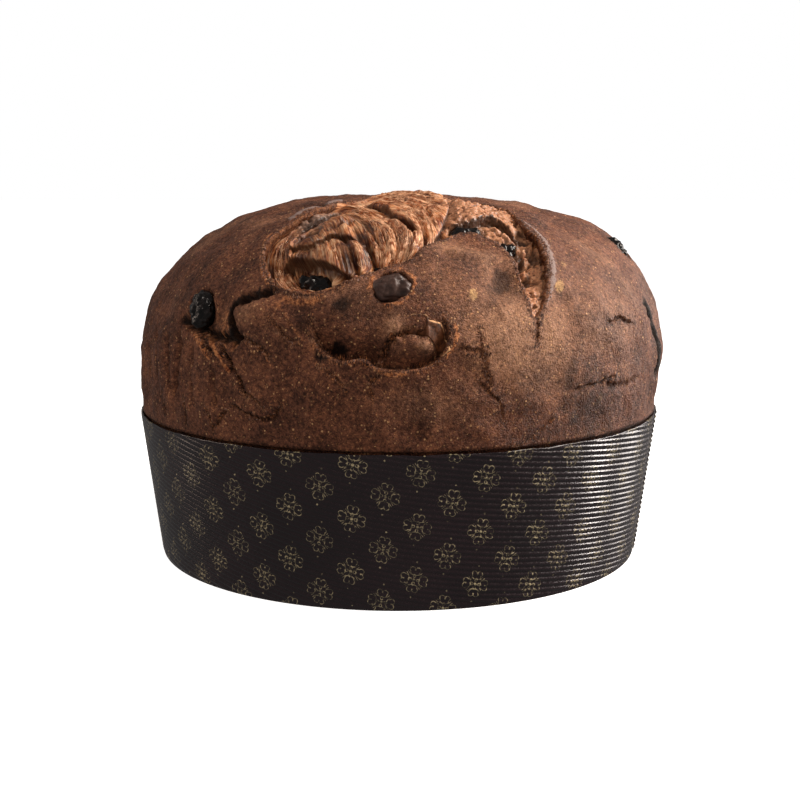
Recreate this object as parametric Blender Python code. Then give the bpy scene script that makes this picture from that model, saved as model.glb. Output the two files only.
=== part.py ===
"""A low chocolate panettone in its ribbed paper case.

The case is a cone of fluted board with a flat floor. The loaf fills it and rises over its rim as a
wide dome, whose scored top has torn open. Raisins sit in sockets in the crust and the torn crumb.

The frame is in metres with +Z up, and its origin is the middle of the case's underside. The front,
where the tear opens, looks along -Y. Every size below is in millimetres.

Places on the dome are points (a, b) of its map: the crust unrolled from the apex, so that a point
lies hypot(a, b) of crust away from the apex, to the right where a is positive and to the front
where b is negative.
"""

import math

import bmesh
import bpy
import numpy as np
from mathutils import Matrix, Vector, noise

MM = 0.001
GAP = 0.4

# The paper case
CASE_BASE_RADIUS = 105.0
CASE_RIM_RADIUS = 112.9
CASE_HEIGHT = 62.0
CASE_SIDES = 36
RIB_COUNT = 29
RIB_DEPTH = 0.9
BOARD_THICKNESS = 1.4
FLOOR_THICKNESS = 0.8

# The dome's outline, from the apex over the equator to the neck at the case's rim
APEX_HEIGHT = 153.2
EQUATOR_HEIGHT = 81.7
EQUATOR_RADIUS = 112.7
NECK_HEIGHT = CASE_HEIGHT + 0.8
NECK_RADIUS = 112.2
TOP_FULLNESS = 2.51
SIDE_FULLNESS = 2.67
PROFILE_STEPS = 800

# The whole dome leans a little to the right at its shoulders
LEAN = 3.7
LEAN_AT = 92.0
LEAN_WIDTH = 42.0

# The loaf's mesh: cells across the map, before the front and the torn places are refined
MAP_CELLS = 30
FOOT_CLEARANCE = 0.4
FOOT_ROUNDING = 2.5
LIP_DRAW = 0.42

# Slow swelling of the baked dough
SWELL = 1.3
SWELL_LENGTH = 38.0

# The mouth of the tear, anticlockwise on the map from the left lip's upper end
TEAR = [
    (-24, -34), (-42, -57), (-52, -65), (-58, -80), (-53, -98), (-45, -106), (-28, -109),
    (-9, -102), (4, -95), (12, -86), (22, -79), (36, -81), (43, -95), (53, -111),
    (59, -108), (60, -94), (56, -82), (50, -70), (50, -48), (38, -24), (10, -6), (-12, -12),
]
TEAR_DROP = 4.5
TEAR_WALL = 4.6
TEAR_LIP = 1.6
TEAR_LIP_WIDTH = 6.0
CRUMB_RISE = 6.0
CRUMB_RISE_WIDTH = 20.0

# Grooves and folds: points on the map, depth, half width, and how far the crust to the left of
# the travel stands above the crust to its right
GROOVES = [
    ([(-50, -84), (-42, -84), (-32, -81), (-24, -80), (-18, -82)], 2.5, 2.2, 0.0),
    ([(-14, -80), (-14, -91), (-12, -104)], 3.0, 1.8, 0.0),
    ([(10, -34), (13, -56), (16, -72), (20, -78)], 3.0, 3.5, 0.0),
    ([(-47, -104), (-58, -104), (-68, -101), (-75, -103), (-73, -112)], 4.0, 2.2, -1.0),
    ([(-72, -112), (-82, -107), (-92, -95), (-99, -86)], 3.0, 2.0, -1.0),
    ([(-96, -92), (-90, -102), (-84, -114), (-80, -130)], 1.6, 1.6, 0.6),
    ([(110, -74), (122, -66), (132, -59), (146, -62)], 5.0, 3.5, -2.0),
    ([(-60, 22), (-30, 12), (-8, 0)], 3.0, 2.6, -1.5),
    ([(62, 70), (44, 38), (30, 8)], 3.2, 2.6, 1.5),
]

# The fold under the front flap: its lower lip, the step up to the lip, and the slope behind it
POCKET_LIP = [
    (-42, -118), (-38, -128), (-30, -133), (-18, -137), (-11, -136), (-2, -141), (8, -141),
    (17, -135), (21, -126), (18, -118),
]
POCKET_DEPTH = 6.0
POCKET_REACH = 17.0
POCKET_WALL = 3.6
POCKET_RISE = 1.4
POCKET_RISE_WIDTH = 7.0

# Bumps and dents: place on the map, half width, half length, height
SWELLINGS = [
    ((-38, -98), 12.0, 9.0, -5.0),
    ((-22, -66), 15.0, 12.0, 3.5),
    ((0, -72), 9.0, 24.0, 4.0),
    ((32, -46), 14.0, 16.0, 2.0),
    ((52, -92), 6.0, 13.0, -4.5),
    ((46, -76), 8.0, 5.0, -4.0),
    ((40, -102), 8.0, 7.0, 2.0),
    ((6, -134), 8.5, 5.5, 4.0),
    ((-28, -44), 4.0, 4.0, -3.0),
    ((-82, -100), 9.0, 7.0, -2.0),
    ((-12, -116), 22.0, 9.0, 2.2),
    ((24, -98), 18.0, 14.0, 1.6),
    ((-60, -118), 14.0, 12.0, 1.2),
    ((138, -44), 12.0, 12.0, 2.5),
]

# Raisins: name, place on the map, half length, half width, half height, turn in degrees, and how
# much of the half height stands out of the dough around it
RAISINS = [
    ("raisin_left", (-89, -84), 8.4, 5.4, 4.4, 100, 0.35),
    ("raisin_in_tear", (-38, -99), 7.4, 4.6, 3.8, 160, 0.75),
    ("raisin_in_slit", (-12, -99), 3.6, 2.2, 2.6, 90, 0.45),
    ("raisin_top", (23, -73), 6.6, 3.6, 3.2, 20, 0.55),
    ("raisin_right_pocket", (41, -76), 4.0, 3.2, 3.0, 60, 0.65),
    ("raisin_front", (-6, -110), 7.4, 5.4, 4.2, 10, 0.15),
    ("raisin_right", (92, -29), 6.2, 4.0, 3.4, 150, 0.30),
    ("raisin_back_left", (-78, 52), 6.6, 4.6, 3.8, 40, 0.35),
    ("raisin_back_right", (84, 50), 6.8, 4.4, 3.8, 120, 0.30),
    ("raisin_back", (8, 118), 7.2, 4.8, 4.0, 10, 0.30),
    ("raisin_far_left", (-134, 6), 6.0, 4.2, 3.6, 80, 0.25),
]
RAISIN_SEGMENTS = 10
RAISIN_RINGS = 7
RAISIN_WRINKLE = 0.10

# Colours in linear light
CRUST_COLOUR = (0.085, 0.034, 0.020, 1.0)
RAISIN_COLOUR = (0.012, 0.009, 0.008, 1.0)
BOARD_COLOUR = (0.020, 0.013, 0.012, 1.0)


def smoothstep(low, high, x):
    """0 below low, 1 above high, and a smooth rise between them."""
    t = np.clip((x - low) / (high - low), 0.0, 1.0)
    return t * t * (3.0 - 2.0 * t)


def curve_through(points, closed=False, per_span=8):
    """A smooth line through points of the map, as an array of points."""
    p = np.array(points, float)
    if closed:
        p = np.vstack([p[-1], p, p[0], p[1]])
    else:
        p = np.vstack([2 * p[0] - p[1], p, 2 * p[-1] - p[-2]])
    t = np.linspace(0.0, 1.0, per_span, endpoint=False)[:, None]
    spans = []
    for p0, p1, p2, p3 in zip(p[:-3], p[1:-2], p[2:-1], p[3:]):
        spans.append(
            p1
            + 0.5 * t * (p2 - p0)
            + t**2 * (p0 - 2.5 * p1 + 2.0 * p2 - 0.5 * p3)
            + t**3 * (1.5 * (p1 - p2) + 0.5 * (p3 - p0))
        )
    spans.append(p[-2][None, :])
    return np.vstack(spans)


def distance_to(line, a, b):
    """Distance to a line, its side (1 to the left of the travel, else -1), and 0 to 1 along it."""
    nearest = np.full(a.shape, 1e9)
    side = np.ones(a.shape)
    along = np.zeros(a.shape)
    count = len(line) - 1
    for i in range(count):
        start, step = line[i], line[i + 1] - line[i]
        length2 = max(float(step @ step), 1e-9)
        t = np.clip(((a - start[0]) * step[0] + (b - start[1]) * step[1]) / length2, 0.0, 1.0)
        off_a = a - start[0] - t * step[0]
        off_b = b - start[1] - t * step[1]
        d = np.hypot(off_a, off_b)
        closer = d < nearest
        nearest = np.where(closer, d, nearest)
        side = np.where(closer, np.where(step[0] * off_b - step[1] * off_a >= 0, 1.0, -1.0), side)
        along = np.where(closer, (i + t) / count, along)
    return nearest, side, along


def is_inside(line, a, b):
    """Whether each point lies inside a closed line."""
    inside = np.zeros(a.shape, bool)
    for (a0, b0), (a1, b1) in zip(line[:-1], line[1:]):
        crosses = (b0 > b) != (b1 > b)
        rise = b1 - b0 if b1 != b0 else 1e-9
        inside ^= crosses & (a < (a1 - a0) * (b - b0) / rise + a0)
    return inside


def profile_table():
    """Arc length from the apex, radius and height along the dome's outline down to the neck."""
    turn = np.linspace(0.0, math.pi / 2, PROFILE_STEPS)
    radius = EQUATOR_RADIUS * np.sin(turn) ** (2.0 / SIDE_FULLNESS)
    height = EQUATOR_HEIGHT + (APEX_HEIGHT - EQUATOR_HEIGHT) * np.cos(turn) ** (2.0 / TOP_FULLNESS)
    down = np.linspace(0.0, 1.0, 60)[1:]
    radius = np.append(radius, EQUATOR_RADIUS - (EQUATOR_RADIUS - NECK_RADIUS) * down**2)
    height = np.append(height, EQUATOR_HEIGHT + (NECK_HEIGHT - EQUATOR_HEIGHT) * down)
    arc = np.append(0.0, np.cumsum(np.hypot(np.diff(radius), np.diff(height))))
    return arc, radius, height


ARC, ARC_RADIUS, ARC_HEIGHT = profile_table()
NECK_ARC = ARC[-1]


def plain_dome(a, b):
    """Points of the dome without relief, in millimetres."""
    s = np.hypot(a, b)
    radius = np.interp(s, ARC, ARC_RADIUS)
    height = np.interp(s, ARC, ARC_HEIGHT)
    turn = np.arctan2(a, -b)
    lean = LEAN * np.exp(-(((s - LEAN_AT) / LEAN_WIDTH) ** 2))
    return np.stack([radius * np.sin(turn) + lean, -radius * np.cos(turn), height], axis=-1)


def dome_normals(a, b):
    """Outward directions of the dome without relief."""
    step = 0.5
    across = plain_dome(a + step, b) - plain_dome(a - step, b)
    back = plain_dome(a, b + step) - plain_dome(a, b - step)
    normals = np.cross(across, back)
    return normals / np.linalg.norm(normals, axis=-1, keepdims=True)


def swell(a, b):
    """Slow uneven rise of the dough."""
    seeds = zip(a / SWELL_LENGTH, b / SWELL_LENGTH)
    return SWELL * np.array([noise.fractal((x, y, 3.0), 0.8, 2.0, 3) for x, y in seeds])


def tear_height(a, b):
    """The lip round the tear, the drop behind it, and the crumb that swells up in its middle."""
    mouth = curve_through(TEAR, closed=True)
    distance, _, _ = distance_to(mouth, a, b)
    inside = is_inside(mouth, a, b)
    lip = TEAR_LIP * np.exp(-distance / TEAR_LIP_WIDTH)
    drop = -(TEAR_DROP + TEAR_LIP) * smoothstep(0.0, TEAR_WALL, distance)
    crumb = CRUMB_RISE * smoothstep(TEAR_WALL, CRUMB_RISE_WIDTH, distance)
    return np.where(inside, TEAR_LIP + drop + crumb, lip)


def groove_height(a, b, points, depth, half_width, step):
    """A groove that fades at both ends, with the dough on its two sides at unlike heights."""
    distance, side, along = distance_to(curve_through(points), a, b)
    ends = smoothstep(0.0, 0.15, along) * smoothstep(1.0, 0.85, along)
    valley = -depth * np.exp(-((distance / half_width) ** 2))
    return ends * (valley + 0.5 * step * side * np.exp(-distance / (3.0 * half_width)))


def pocket_height(a, b):
    """The front flap dives under the crust below it: a slope, a wall and a raised lip."""
    distance, side, along = distance_to(curve_through(POCKET_LIP), a, b)
    ends = smoothstep(0.0, 0.2, along) * smoothstep(1.0, 0.8, along)
    slope = -POCKET_DEPTH * smoothstep(POCKET_REACH, 0.0, distance) * smoothstep(0.0, POCKET_WALL, distance)
    lip = POCKET_RISE * np.exp(-distance / POCKET_RISE_WIDTH)
    return ends * np.where(side > 0, slope + lip * smoothstep(POCKET_WALL, 0.0, distance), lip)


def relief(a, b):
    """Height of the crust and crumb above the plain dome, in millimetres."""
    height = swell(a, b) + tear_height(a, b) + pocket_height(a, b)
    for groove in GROOVES:
        height += groove_height(a, b, *groove)
    for (place_a, place_b), half_width, half_length, rise in SWELLINGS:
        reach = ((a - place_a) / half_width) ** 2 + ((b - place_b) / half_length) ** 2
        height += rise * np.exp(-reach)
    return height * smoothstep(NECK_ARC, NECK_ARC - 10.0, np.hypot(a, b))


def loaf_surface(a, b):
    """Points of the finished dome, in millimetres."""
    return plain_dome(a, b) + dome_normals(a, b) * relief(a, b)[..., None]


def square_to_disc(u, v):
    """Maps the square from -1 to 1 onto the unit disc with cells of equal area."""
    across = np.abs(u) >= np.abs(v)
    safe_u = np.where(np.abs(u) < 1e-12, 1e-12, u)
    safe_v = np.where(np.abs(v) < 1e-12, 1e-12, v)
    radius = np.where(across, u, v)
    turn = np.where(across, math.pi / 4 * v / safe_u, math.pi / 2 - math.pi / 4 * u / safe_v)
    return radius * np.cos(turn), radius * np.sin(turn)


def vertex_array(mesh):
    """The places of all vertices of a bmesh."""
    return np.array([v.co for v in mesh.verts], float)


def refine(mesh, wanted):
    """Splits the faces of a flat map mesh whose middle passes the test wanted(a, b)."""
    middles = np.array([f.calc_center_median() for f in mesh.faces], float)
    chosen = wanted(middles[:, 0], middles[:, 1])
    edges = {e for f, pick in zip(mesh.faces, chosen) if pick for e in f.edges}
    bmesh.ops.subdivide_edges(mesh, edges=list(edges), cuts=1, use_grid_fill=True)


def lip_lines():
    """The tear's mouth and the lip of the fold under the front flap."""
    return curve_through(TEAR, closed=True), curve_through(POCKET_LIP)


def near_front(a, b):
    """The front and top of the dome, where its relief is."""
    return (b < 6) & (np.hypot(a, b) < 150) & (np.abs(a + 4) < 102)


def near_lips(a, b):
    """A strip along the lips."""
    mouth, fold = (distance_to(line, a, b)[0] for line in lip_lines())
    return (mouth < 4.6) | (fold < 4.6)


def draw_to_lips(mesh):
    """Moves the vertices nearest to a lip's line onto it, so that the lips are clean edges."""
    cell = 2.0 * NECK_ARC / MAP_CELLS / 4.0
    for line in lip_lines():
        flat = vertex_array(mesh)
        near = distance_to(line, flat[:, 0], flat[:, 1])[0] < LIP_DRAW * cell
        for vertex, is_near in zip(mesh.verts, near):
            if is_near:
                gaps = np.hypot(line[:, 0] - vertex.co.x, line[:, 1] - vertex.co.y)
                vertex.co = (*line[int(np.argmin(gaps))], 0.0)


def case_wall_radius(height):
    """Middle radius of the fluted board at a height."""
    return CASE_BASE_RADIUS + (CASE_RIM_RADIUS - CASE_BASE_RADIUS) * height / CASE_HEIGHT


def case_inner_radius(height):
    """Radius of the case's plain inner face at its corners."""
    return case_wall_radius(height) + RIB_DEPTH / 2 - BOARD_THICKNESS


def material(name, colour, roughness, metallic=0.0):
    """A plain material."""
    made = bpy.data.materials.new(name)
    made.use_nodes = True
    shader = made.node_tree.nodes["Principled BSDF"]
    shader.inputs["Base Color"].default_value = colour
    shader.inputs["Roughness"].default_value = roughness
    shader.inputs["Metallic"].default_value = metallic
    made.diffuse_color = colour
    return made


def add_object(name, mesh, surface, parent):
    """Turns a bmesh in millimetres into a named object in metres."""
    bmesh.ops.scale(mesh, verts=mesh.verts, vec=(MM, MM, MM))
    bmesh.ops.recalc_face_normals(mesh, faces=mesh.faces)
    data = bpy.data.meshes.new(name)
    mesh.to_mesh(data)
    mesh.free()
    data.materials.append(surface)
    made = bpy.data.objects.new(name, data)
    bpy.context.scene.collection.objects.link(made)
    made.parent = parent
    return made


def build_case(surface, parent):
    """The fluted board turned round the axis, with its flat floor."""
    pitch = CASE_HEIGHT / RIB_COUNT
    outline = [(0.0, 0.0), (case_wall_radius(0.0) - RIB_DEPTH / 2, 0.0)]
    for rib in range(RIB_COUNT):
        crest = (rib + 0.5) * pitch
        valley = (rib + 1.0) * pitch
        outline.append((case_wall_radius(crest) + RIB_DEPTH / 2, crest))
        outline.append((case_wall_radius(valley) - RIB_DEPTH / 2, valley))
    outline.append((case_inner_radius(CASE_HEIGHT), CASE_HEIGHT))
    outline.append((case_inner_radius(FLOOR_THICKNESS), FLOOR_THICKNESS))
    outline.append((0.0, FLOOR_THICKNESS))
    mesh = bmesh.new()
    corners = [mesh.verts.new((radius, 0.0, height)) for radius, height in outline]
    edges = [mesh.edges.new(pair) for pair in zip(corners[:-1], corners[1:])]
    bmesh.ops.spin(
        mesh,
        geom=corners + edges,
        cent=(0.0, 0.0, 0.0),
        axis=(0.0, 0.0, 1.0),
        angle=2 * math.pi,
        steps=CASE_SIDES,
        use_merge=True,
    )
    bmesh.ops.remove_doubles(mesh, verts=mesh.verts, dist=0.01)
    return add_object("case", mesh, surface, parent)


def build_loaf(surface, parent):
    """The dome from its map, closed by a plain foot that fills the case."""
    mesh = bmesh.new()
    bmesh.ops.create_grid(mesh, x_segments=MAP_CELLS, y_segments=MAP_CELLS, size=1.0)
    flat = vertex_array(mesh)
    disc_a, disc_b = square_to_disc(flat[:, 0], flat[:, 1])
    for vertex, a, b in zip(mesh.verts, disc_a * NECK_ARC, disc_b * NECK_ARC):
        vertex.co = (a, b, 0.0)
    refine(mesh, near_front)
    refine(mesh, near_lips)
    draw_to_lips(mesh)
    flat = vertex_array(mesh)
    for vertex, place in zip(mesh.verts, loaf_surface(flat[:, 0], flat[:, 1])):
        vertex.co = place
    side_gap = GAP + case_inner_radius(CASE_HEIGHT) * (1.0 - math.cos(math.pi / CASE_SIDES))
    foot = FLOOR_THICKNESS + FOOT_CLEARANCE
    rings = [
        (case_inner_radius(CASE_HEIGHT) - side_gap, NECK_HEIGHT),
        (case_inner_radius(foot + FOOT_ROUNDING) - side_gap, foot + FOOT_ROUNDING),
        (case_inner_radius(foot) - side_gap - FOOT_ROUNDING, foot),
    ]
    rim = [e for e in mesh.edges if e.is_boundary]
    for radius, height in rings:
        grown = bmesh.ops.extrude_edge_only(mesh, edges=rim)["geom"]
        rim = [g for g in grown if isinstance(g, bmesh.types.BMEdge)]
        for vertex in {v for e in rim for v in e.verts}:
            direction = Vector((vertex.co.x, vertex.co.y, 0.0)).normalized()
            vertex.co = direction * radius + Vector((0.0, 0.0, height))
    bmesh.ops.contextual_create(mesh, geom=rim)
    return add_object("loaf", mesh, surface, parent)


def raisin_mesh(size, allowance, seed):
    """A wrinkled ellipsoid with half axes size plus an allowance all round."""
    mesh = bmesh.new()
    bmesh.ops.create_uvsphere(mesh, u_segments=RAISIN_SEGMENTS, v_segments=RAISIN_RINGS, radius=1.0)
    for vertex in mesh.verts:
        wrinkle = 1.0 + RAISIN_WRINKLE * noise.noise(vertex.co * 1.7 + Vector((seed, 0.0, 0.0)))
        for axis in range(3):
            vertex.co[axis] *= size[axis] * wrinkle + allowance
    return mesh


def raisin_place(place, size, turn, showing):
    """A raisin's matrix: on the dome, turned in its surface, sunk so that it shows as stated."""
    a, b = np.array([float(place[0])]), np.array([float(place[1])])
    point = Vector(loaf_surface(a, b)[0])
    up = Vector(dome_normals(a, b)[0])
    point += up * size[2] * (2.0 * showing - 1.0)
    right = Vector((1.0, 0.0, 0.0))
    right = (right - up * right.dot(up)).normalized()
    axes = Matrix((right, up.cross(right), up)).transposed().to_4x4()
    return Matrix.Translation(point * MM) @ axes @ Matrix.Rotation(math.radians(turn), 4, "Z")


def build_raisins(surface, parent):
    """The raisins, and for each a slightly larger cutter for its socket."""
    cutters = bpy.data.collections.new("socket_cutters")
    bpy.context.scene.collection.children.link(cutters)
    for seed, (name, place, length, width, height, turn, showing) in enumerate(RAISINS):
        size = (length, width, height)
        where = raisin_place(place, size, turn, showing)
        made = add_object(name, raisin_mesh(size, 0.0, seed), surface, parent)
        made.matrix_local = where
        made.data.shade_smooth()
        cutter = add_object(name + "_cutter", raisin_mesh(size, GAP, seed), surface, parent)
        cutter.matrix_local = where
        cutter.hide_render = True
        cutter.display_type = "WIRE"
        bpy.context.scene.collection.objects.unlink(cutter)
        cutters.objects.link(cutter)
    return cutters


def main():
    """Builds the case, the loaf and the raisins, and cuts the raisins' sockets."""
    for existing in list(bpy.data.objects):
        bpy.data.objects.remove(existing)
    parent = bpy.data.objects.new("panettone", None)
    bpy.context.scene.collection.objects.link(parent)
    build_case(material("board", BOARD_COLOUR, 0.45), parent)
    loaf = build_loaf(material("crust", CRUST_COLOUR, 0.65), parent)
    cutters = build_raisins(material("raisin", RAISIN_COLOUR, 0.3), parent)
    sockets = loaf.modifiers.new("raisin_sockets", "BOOLEAN")
    sockets.operation = "DIFFERENCE"
    sockets.operand_type = "COLLECTION"
    sockets.collection = cutters
    sockets.solver = "EXACT"
    loaf.data.shade_smooth()
    loaf.data.set_sharp_from_angle(angle=math.radians(50))


main()
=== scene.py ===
"""The looks of a chocolate panettone in its fluted paper case.

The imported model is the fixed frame. Its loaf, case and raisins are replaced by finely modelled
pieces of the same form: the crust with its folds and cracks, the torn crumb with its fibres, the
wrinkled raisins, and the ribbed case with its printed florets.

Sizes are in millimetres. Places on the dome are points (a, b) of its map: the crust unrolled from
the apex, with a to the right and b to the back, as in the part's own source.
"""

from __future__ import annotations

import itertools
import logging
import math
from dataclasses import dataclass, field
from enum import Enum
from typing import NamedTuple

import bmesh
import bpy
import numpy as np
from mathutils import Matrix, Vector, noise


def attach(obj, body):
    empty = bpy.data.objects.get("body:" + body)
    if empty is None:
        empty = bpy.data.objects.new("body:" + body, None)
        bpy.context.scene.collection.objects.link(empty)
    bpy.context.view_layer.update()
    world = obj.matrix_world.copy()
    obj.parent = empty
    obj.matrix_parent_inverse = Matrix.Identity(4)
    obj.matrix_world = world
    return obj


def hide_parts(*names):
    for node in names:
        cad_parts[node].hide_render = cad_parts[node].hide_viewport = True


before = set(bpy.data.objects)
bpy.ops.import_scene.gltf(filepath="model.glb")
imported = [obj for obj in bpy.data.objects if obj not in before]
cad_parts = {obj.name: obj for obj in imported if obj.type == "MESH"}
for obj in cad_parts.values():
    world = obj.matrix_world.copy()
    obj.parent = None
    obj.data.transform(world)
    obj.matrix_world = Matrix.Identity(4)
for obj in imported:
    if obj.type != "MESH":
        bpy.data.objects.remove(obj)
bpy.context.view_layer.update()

MM = 0.001
LOG = logging.getLogger("panettone")

Array = np.ndarray
Place = tuple[float, float]
Span = tuple[float, float]
Wire = bpy.types.NodeSocket
Inputs = dict[str | int, object]


class Paint(Enum):
    """The vertex attributes that the materials read."""

    RAW = "raw"
    PALE = "pale"
    # Dark paint: dark stains and spots, and painted shade in cracks, folds, holes, sockets and under the
    # mouth's lip.
    STAIN_AND_SHADE = "dark"
    SPONGE = "sponge"
    # Hollow paint: painted shade in the crumb's holes, pits, folds and creases, and over its left mass, which
    # the key light misses.
    PAINTED_SHADE = "hollow"
    # Paler brown paint: a lighter baked tone, which over the right front also stands for the key light:
    # partly painted light.
    TAN = "tan"
    STRAW = "straw"
    CREST = "crest"


def linear(code: str) -> tuple[float, float, float, float]:
    """Turns a colour from sRGB to linear light.

    Args:
        code: Six hexadecimal digits.

    Returns:
        Red, green and blue in linear light, and an alpha of 1.
    """
    parts = [int(code[i : i + 2], 16) / 255.0 for i in (0, 2, 4)]
    return (*[p / 12.92 if p <= 0.04045 else ((p + 0.055) / 1.055) ** 2.4 for p in parts], 1.0)


def smoothstep(low: float, high: float, x: Array) -> Array:
    """Rises smoothly from 0 at low to 1 at high."""
    t = np.clip((x - low) / (high - low), 0.0, 1.0)
    return t * t * (3.0 - 2.0 * t)


def lumps(points: Array, size: float, seed: int, octaves: int = 1) -> Array:
    """Smooth noise from random values on a cubic lattice.

    Args:
        points: Places, one per row, with two or three columns.
        size: Spacing of the coarsest lattice, in the points' unit.
        seed: Seed of the lattice's values.
        octaves: Number of layers, each half the size and strength of the one before.

    Returns:
        A value from about -1 to 1 for each point.
    """
    total = np.zeros(len(points))
    weight_sum = 0.0
    for octave in range(octaves):
        side = 48
        table = np.random.default_rng(seed + octave).uniform(-1.0, 1.0, (side,) * points.shape[1])
        scaled = points * 2.0**octave / size + 17.3 * octave
        cell = np.floor(scaled).astype(int)
        t = scaled - cell
        t = t * t * (3.0 - 2.0 * t)
        weight = 0.5**octave
        for corner in itertools.product((0, 1), repeat=points.shape[1]):
            share = np.prod(np.where(corner, t, 1.0 - t), axis=1)
            total += weight * share * table[tuple(((cell + corner) % side).T)]
        weight_sum += weight
    return 1.6 * total / weight_sum


def oval(a: Array, b: Array, middle: Place, half: Place) -> Array:
    """Squared distance from a middle, measured in half axes: 1 on the ellipse."""
    return ((a - middle[0]) / half[0]) ** 2 + ((b - middle[1]) / half[1]) ** 2


class Nearness(NamedTuple):
    """Where points lie against a line: distance, side (1 left, -1 right), 0 to 1 along it.

    away_a and away_b are the direction from the line to each point.
    """

    distance: Array
    side: Array
    along: Array
    away_a: Array
    away_b: Array

    def ends(self, share: float) -> Array:
        """Rises from 0 to 1 over a share of the line at either end."""
        return smoothstep(0.0, share, self.along) * smoothstep(1.0, 1.0 - share, self.along)


@dataclass(frozen=True)
class Line:
    """A smooth line on the dome's map through a few points."""

    points: tuple[Place, ...]
    closed: bool = False
    per_span: int = 8

    def trace(self) -> Array:
        """The line as a fine chain of points."""
        p = np.array(self.points, float)
        if self.closed:
            p = np.vstack([p[-1], p, p[0], p[1]])
        else:
            p = np.vstack([2 * p[0] - p[1], p, 2 * p[-1] - p[-2]])
        t = np.linspace(0.0, 1.0, self.per_span, endpoint=False)[:, None]
        spans = [
            p1
            + 0.5 * t * (p2 - p0)
            + t**2 * (p0 - 2.5 * p1 + 2.0 * p2 - 0.5 * p3)
            + t**3 * (1.5 * (p1 - p2) + 0.5 * (p3 - p0))
            for p0, p1, p2, p3 in zip(p[:-3], p[1:-2], p[2:-1], p[3:])
        ]
        return np.vstack([*spans, p[-2]])

    def near(self, a: Array, b: Array, reach: float = 30.0) -> Nearness:
        """Measures points against the line.

        Args:
            a: First map coordinates.
            b: Second map coordinates.
            reach: Points further than this from the line's box are left at a great distance.

        Returns:
            The points' nearness.
        """
        chain = self.trace()
        low, high = chain.min(axis=0) - reach, chain.max(axis=0) + reach
        found = np.flatnonzero((a > low[0]) & (a < high[0]) & (b > low[1]) & (b < high[1]))
        x, y = a[found], b[found]
        nearest = np.full(len(x), 1e9)
        side = np.ones(len(x))
        along, out_x, out_y = (np.zeros(len(x)) for _ in range(3))
        for i, (start, step) in enumerate(zip(chain[:-1], np.diff(chain, axis=0))):
            off_x, off_y = x - start[0], y - start[1]
            t = np.clip((off_x * step[0] + off_y * step[1]) / max(step @ step, 1e-9), 0.0, 1.0)
            gap_x, gap_y = off_x - t * step[0], off_y - t * step[1]
            d = np.hypot(gap_x, gap_y)
            closer = np.flatnonzero(d < nearest)
            nearest[closer] = d[closer]
            side[closer] = np.where((step[0] * gap_y - step[1] * gap_x)[closer] >= 0, 1.0, -1.0)
            along[closer] = (i + t[closer]) / (len(chain) - 1)
            out_x[closer], out_y[closer] = gap_x[closer], gap_y[closer]
        far = np.maximum(nearest, 1e-6)
        parts = (nearest, side, along, out_x / far, out_y / far)
        whole = Nearness(*[np.full(len(a), value) for value in (1e3, 1.0, 0.0, 0.0, 0.0)])
        for full, part in zip(whole, parts):
            full[found] = part
        return whole

    def contains(self, a: Array, b: Array) -> Array:
        """Whether each point lies inside the closed line."""
        chain = self.trace()
        inside = np.zeros(len(a), bool)
        for (a0, b0), (a1, b1) in zip(chain[:-1], chain[1:]):
            if b0 != b1:
                inside ^= ((b0 > b) != (b1 > b)) & (a < (a1 - a0) * (b - b0) / (b1 - b0) + a0)
        return inside

    def value_at(self, values: tuple[float, ...], along: Array) -> Array:
        """Blends one value per point of the line along it."""
        ring = [*values, values[0]] if self.closed else list(values)
        return np.interp(along, np.linspace(0.0, 1.0, len(ring)), ring)


@dataclass(frozen=True)
class Dome:
    """The loaf's plain dome, from the apex over the equator to the neck at the case's rim."""

    apex_height: float = 153.2
    equator_height: float = 81.7
    equator_radius: float = 112.7
    neck_height: float = 62.8
    neck_radius: float = 112.2
    top_fullness: float = 2.51
    side_fullness: float = 2.67
    lean: float = 3.7
    lean_at: float = 92.0
    lean_width: float = 42.0

    def outline(self) -> tuple[Array, Array, Array]:
        """Arc length from the apex, radius and height along the dome's outline."""
        turn = np.linspace(0.0, math.pi / 2, 800)
        rise = self.apex_height - self.equator_height
        radius = self.equator_radius * np.sin(turn) ** (2.0 / self.side_fullness)
        height = self.equator_height + rise * np.cos(turn) ** (2.0 / self.top_fullness)
        down = np.linspace(0.0, 1.0, 60)[1:]
        radius = np.append(radius, self.equator_radius - (self.equator_radius - self.neck_radius) * down**2)
        height = np.append(height, self.equator_height + (self.neck_height - self.equator_height) * down)
        arc = np.append(0.0, np.cumsum(np.hypot(np.diff(radius), np.diff(height))))
        return arc, radius, height

    def reach(self) -> float:
        """Arc length from the apex to the neck."""
        return float(self.outline()[0][-1])

    def points(self, a: Array, b: Array) -> Array:
        """Points of the plain dome, one per row."""
        arc, radii, heights = self.outline()
        s = np.hypot(a, b)
        radius, height = np.interp(s, arc, radii), np.interp(s, arc, heights)
        turn = np.arctan2(a, -b)
        lean = self.lean * np.exp(-(((s - self.lean_at) / self.lean_width) ** 2))
        return np.stack([radius * np.sin(turn) + lean, -radius * np.cos(turn), height], axis=-1)

    def normals(self, a: Array, b: Array, step: float = 0.5) -> Array:
        """Outward directions of the plain dome, one per row."""
        across = self.points(a + step, b) - self.points(a - step, b)
        back = self.points(a, b + step) - self.points(a, b - step)
        out = np.cross(across, back)
        return out / np.linalg.norm(out, axis=-1, keepdims=True)

    def raised(self, a: Array, b: Array, height: Array) -> Array:
        """Points at a height above the plain dome."""
        return self.points(a, b) + self.normals(a, b) * height[:, None]


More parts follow.
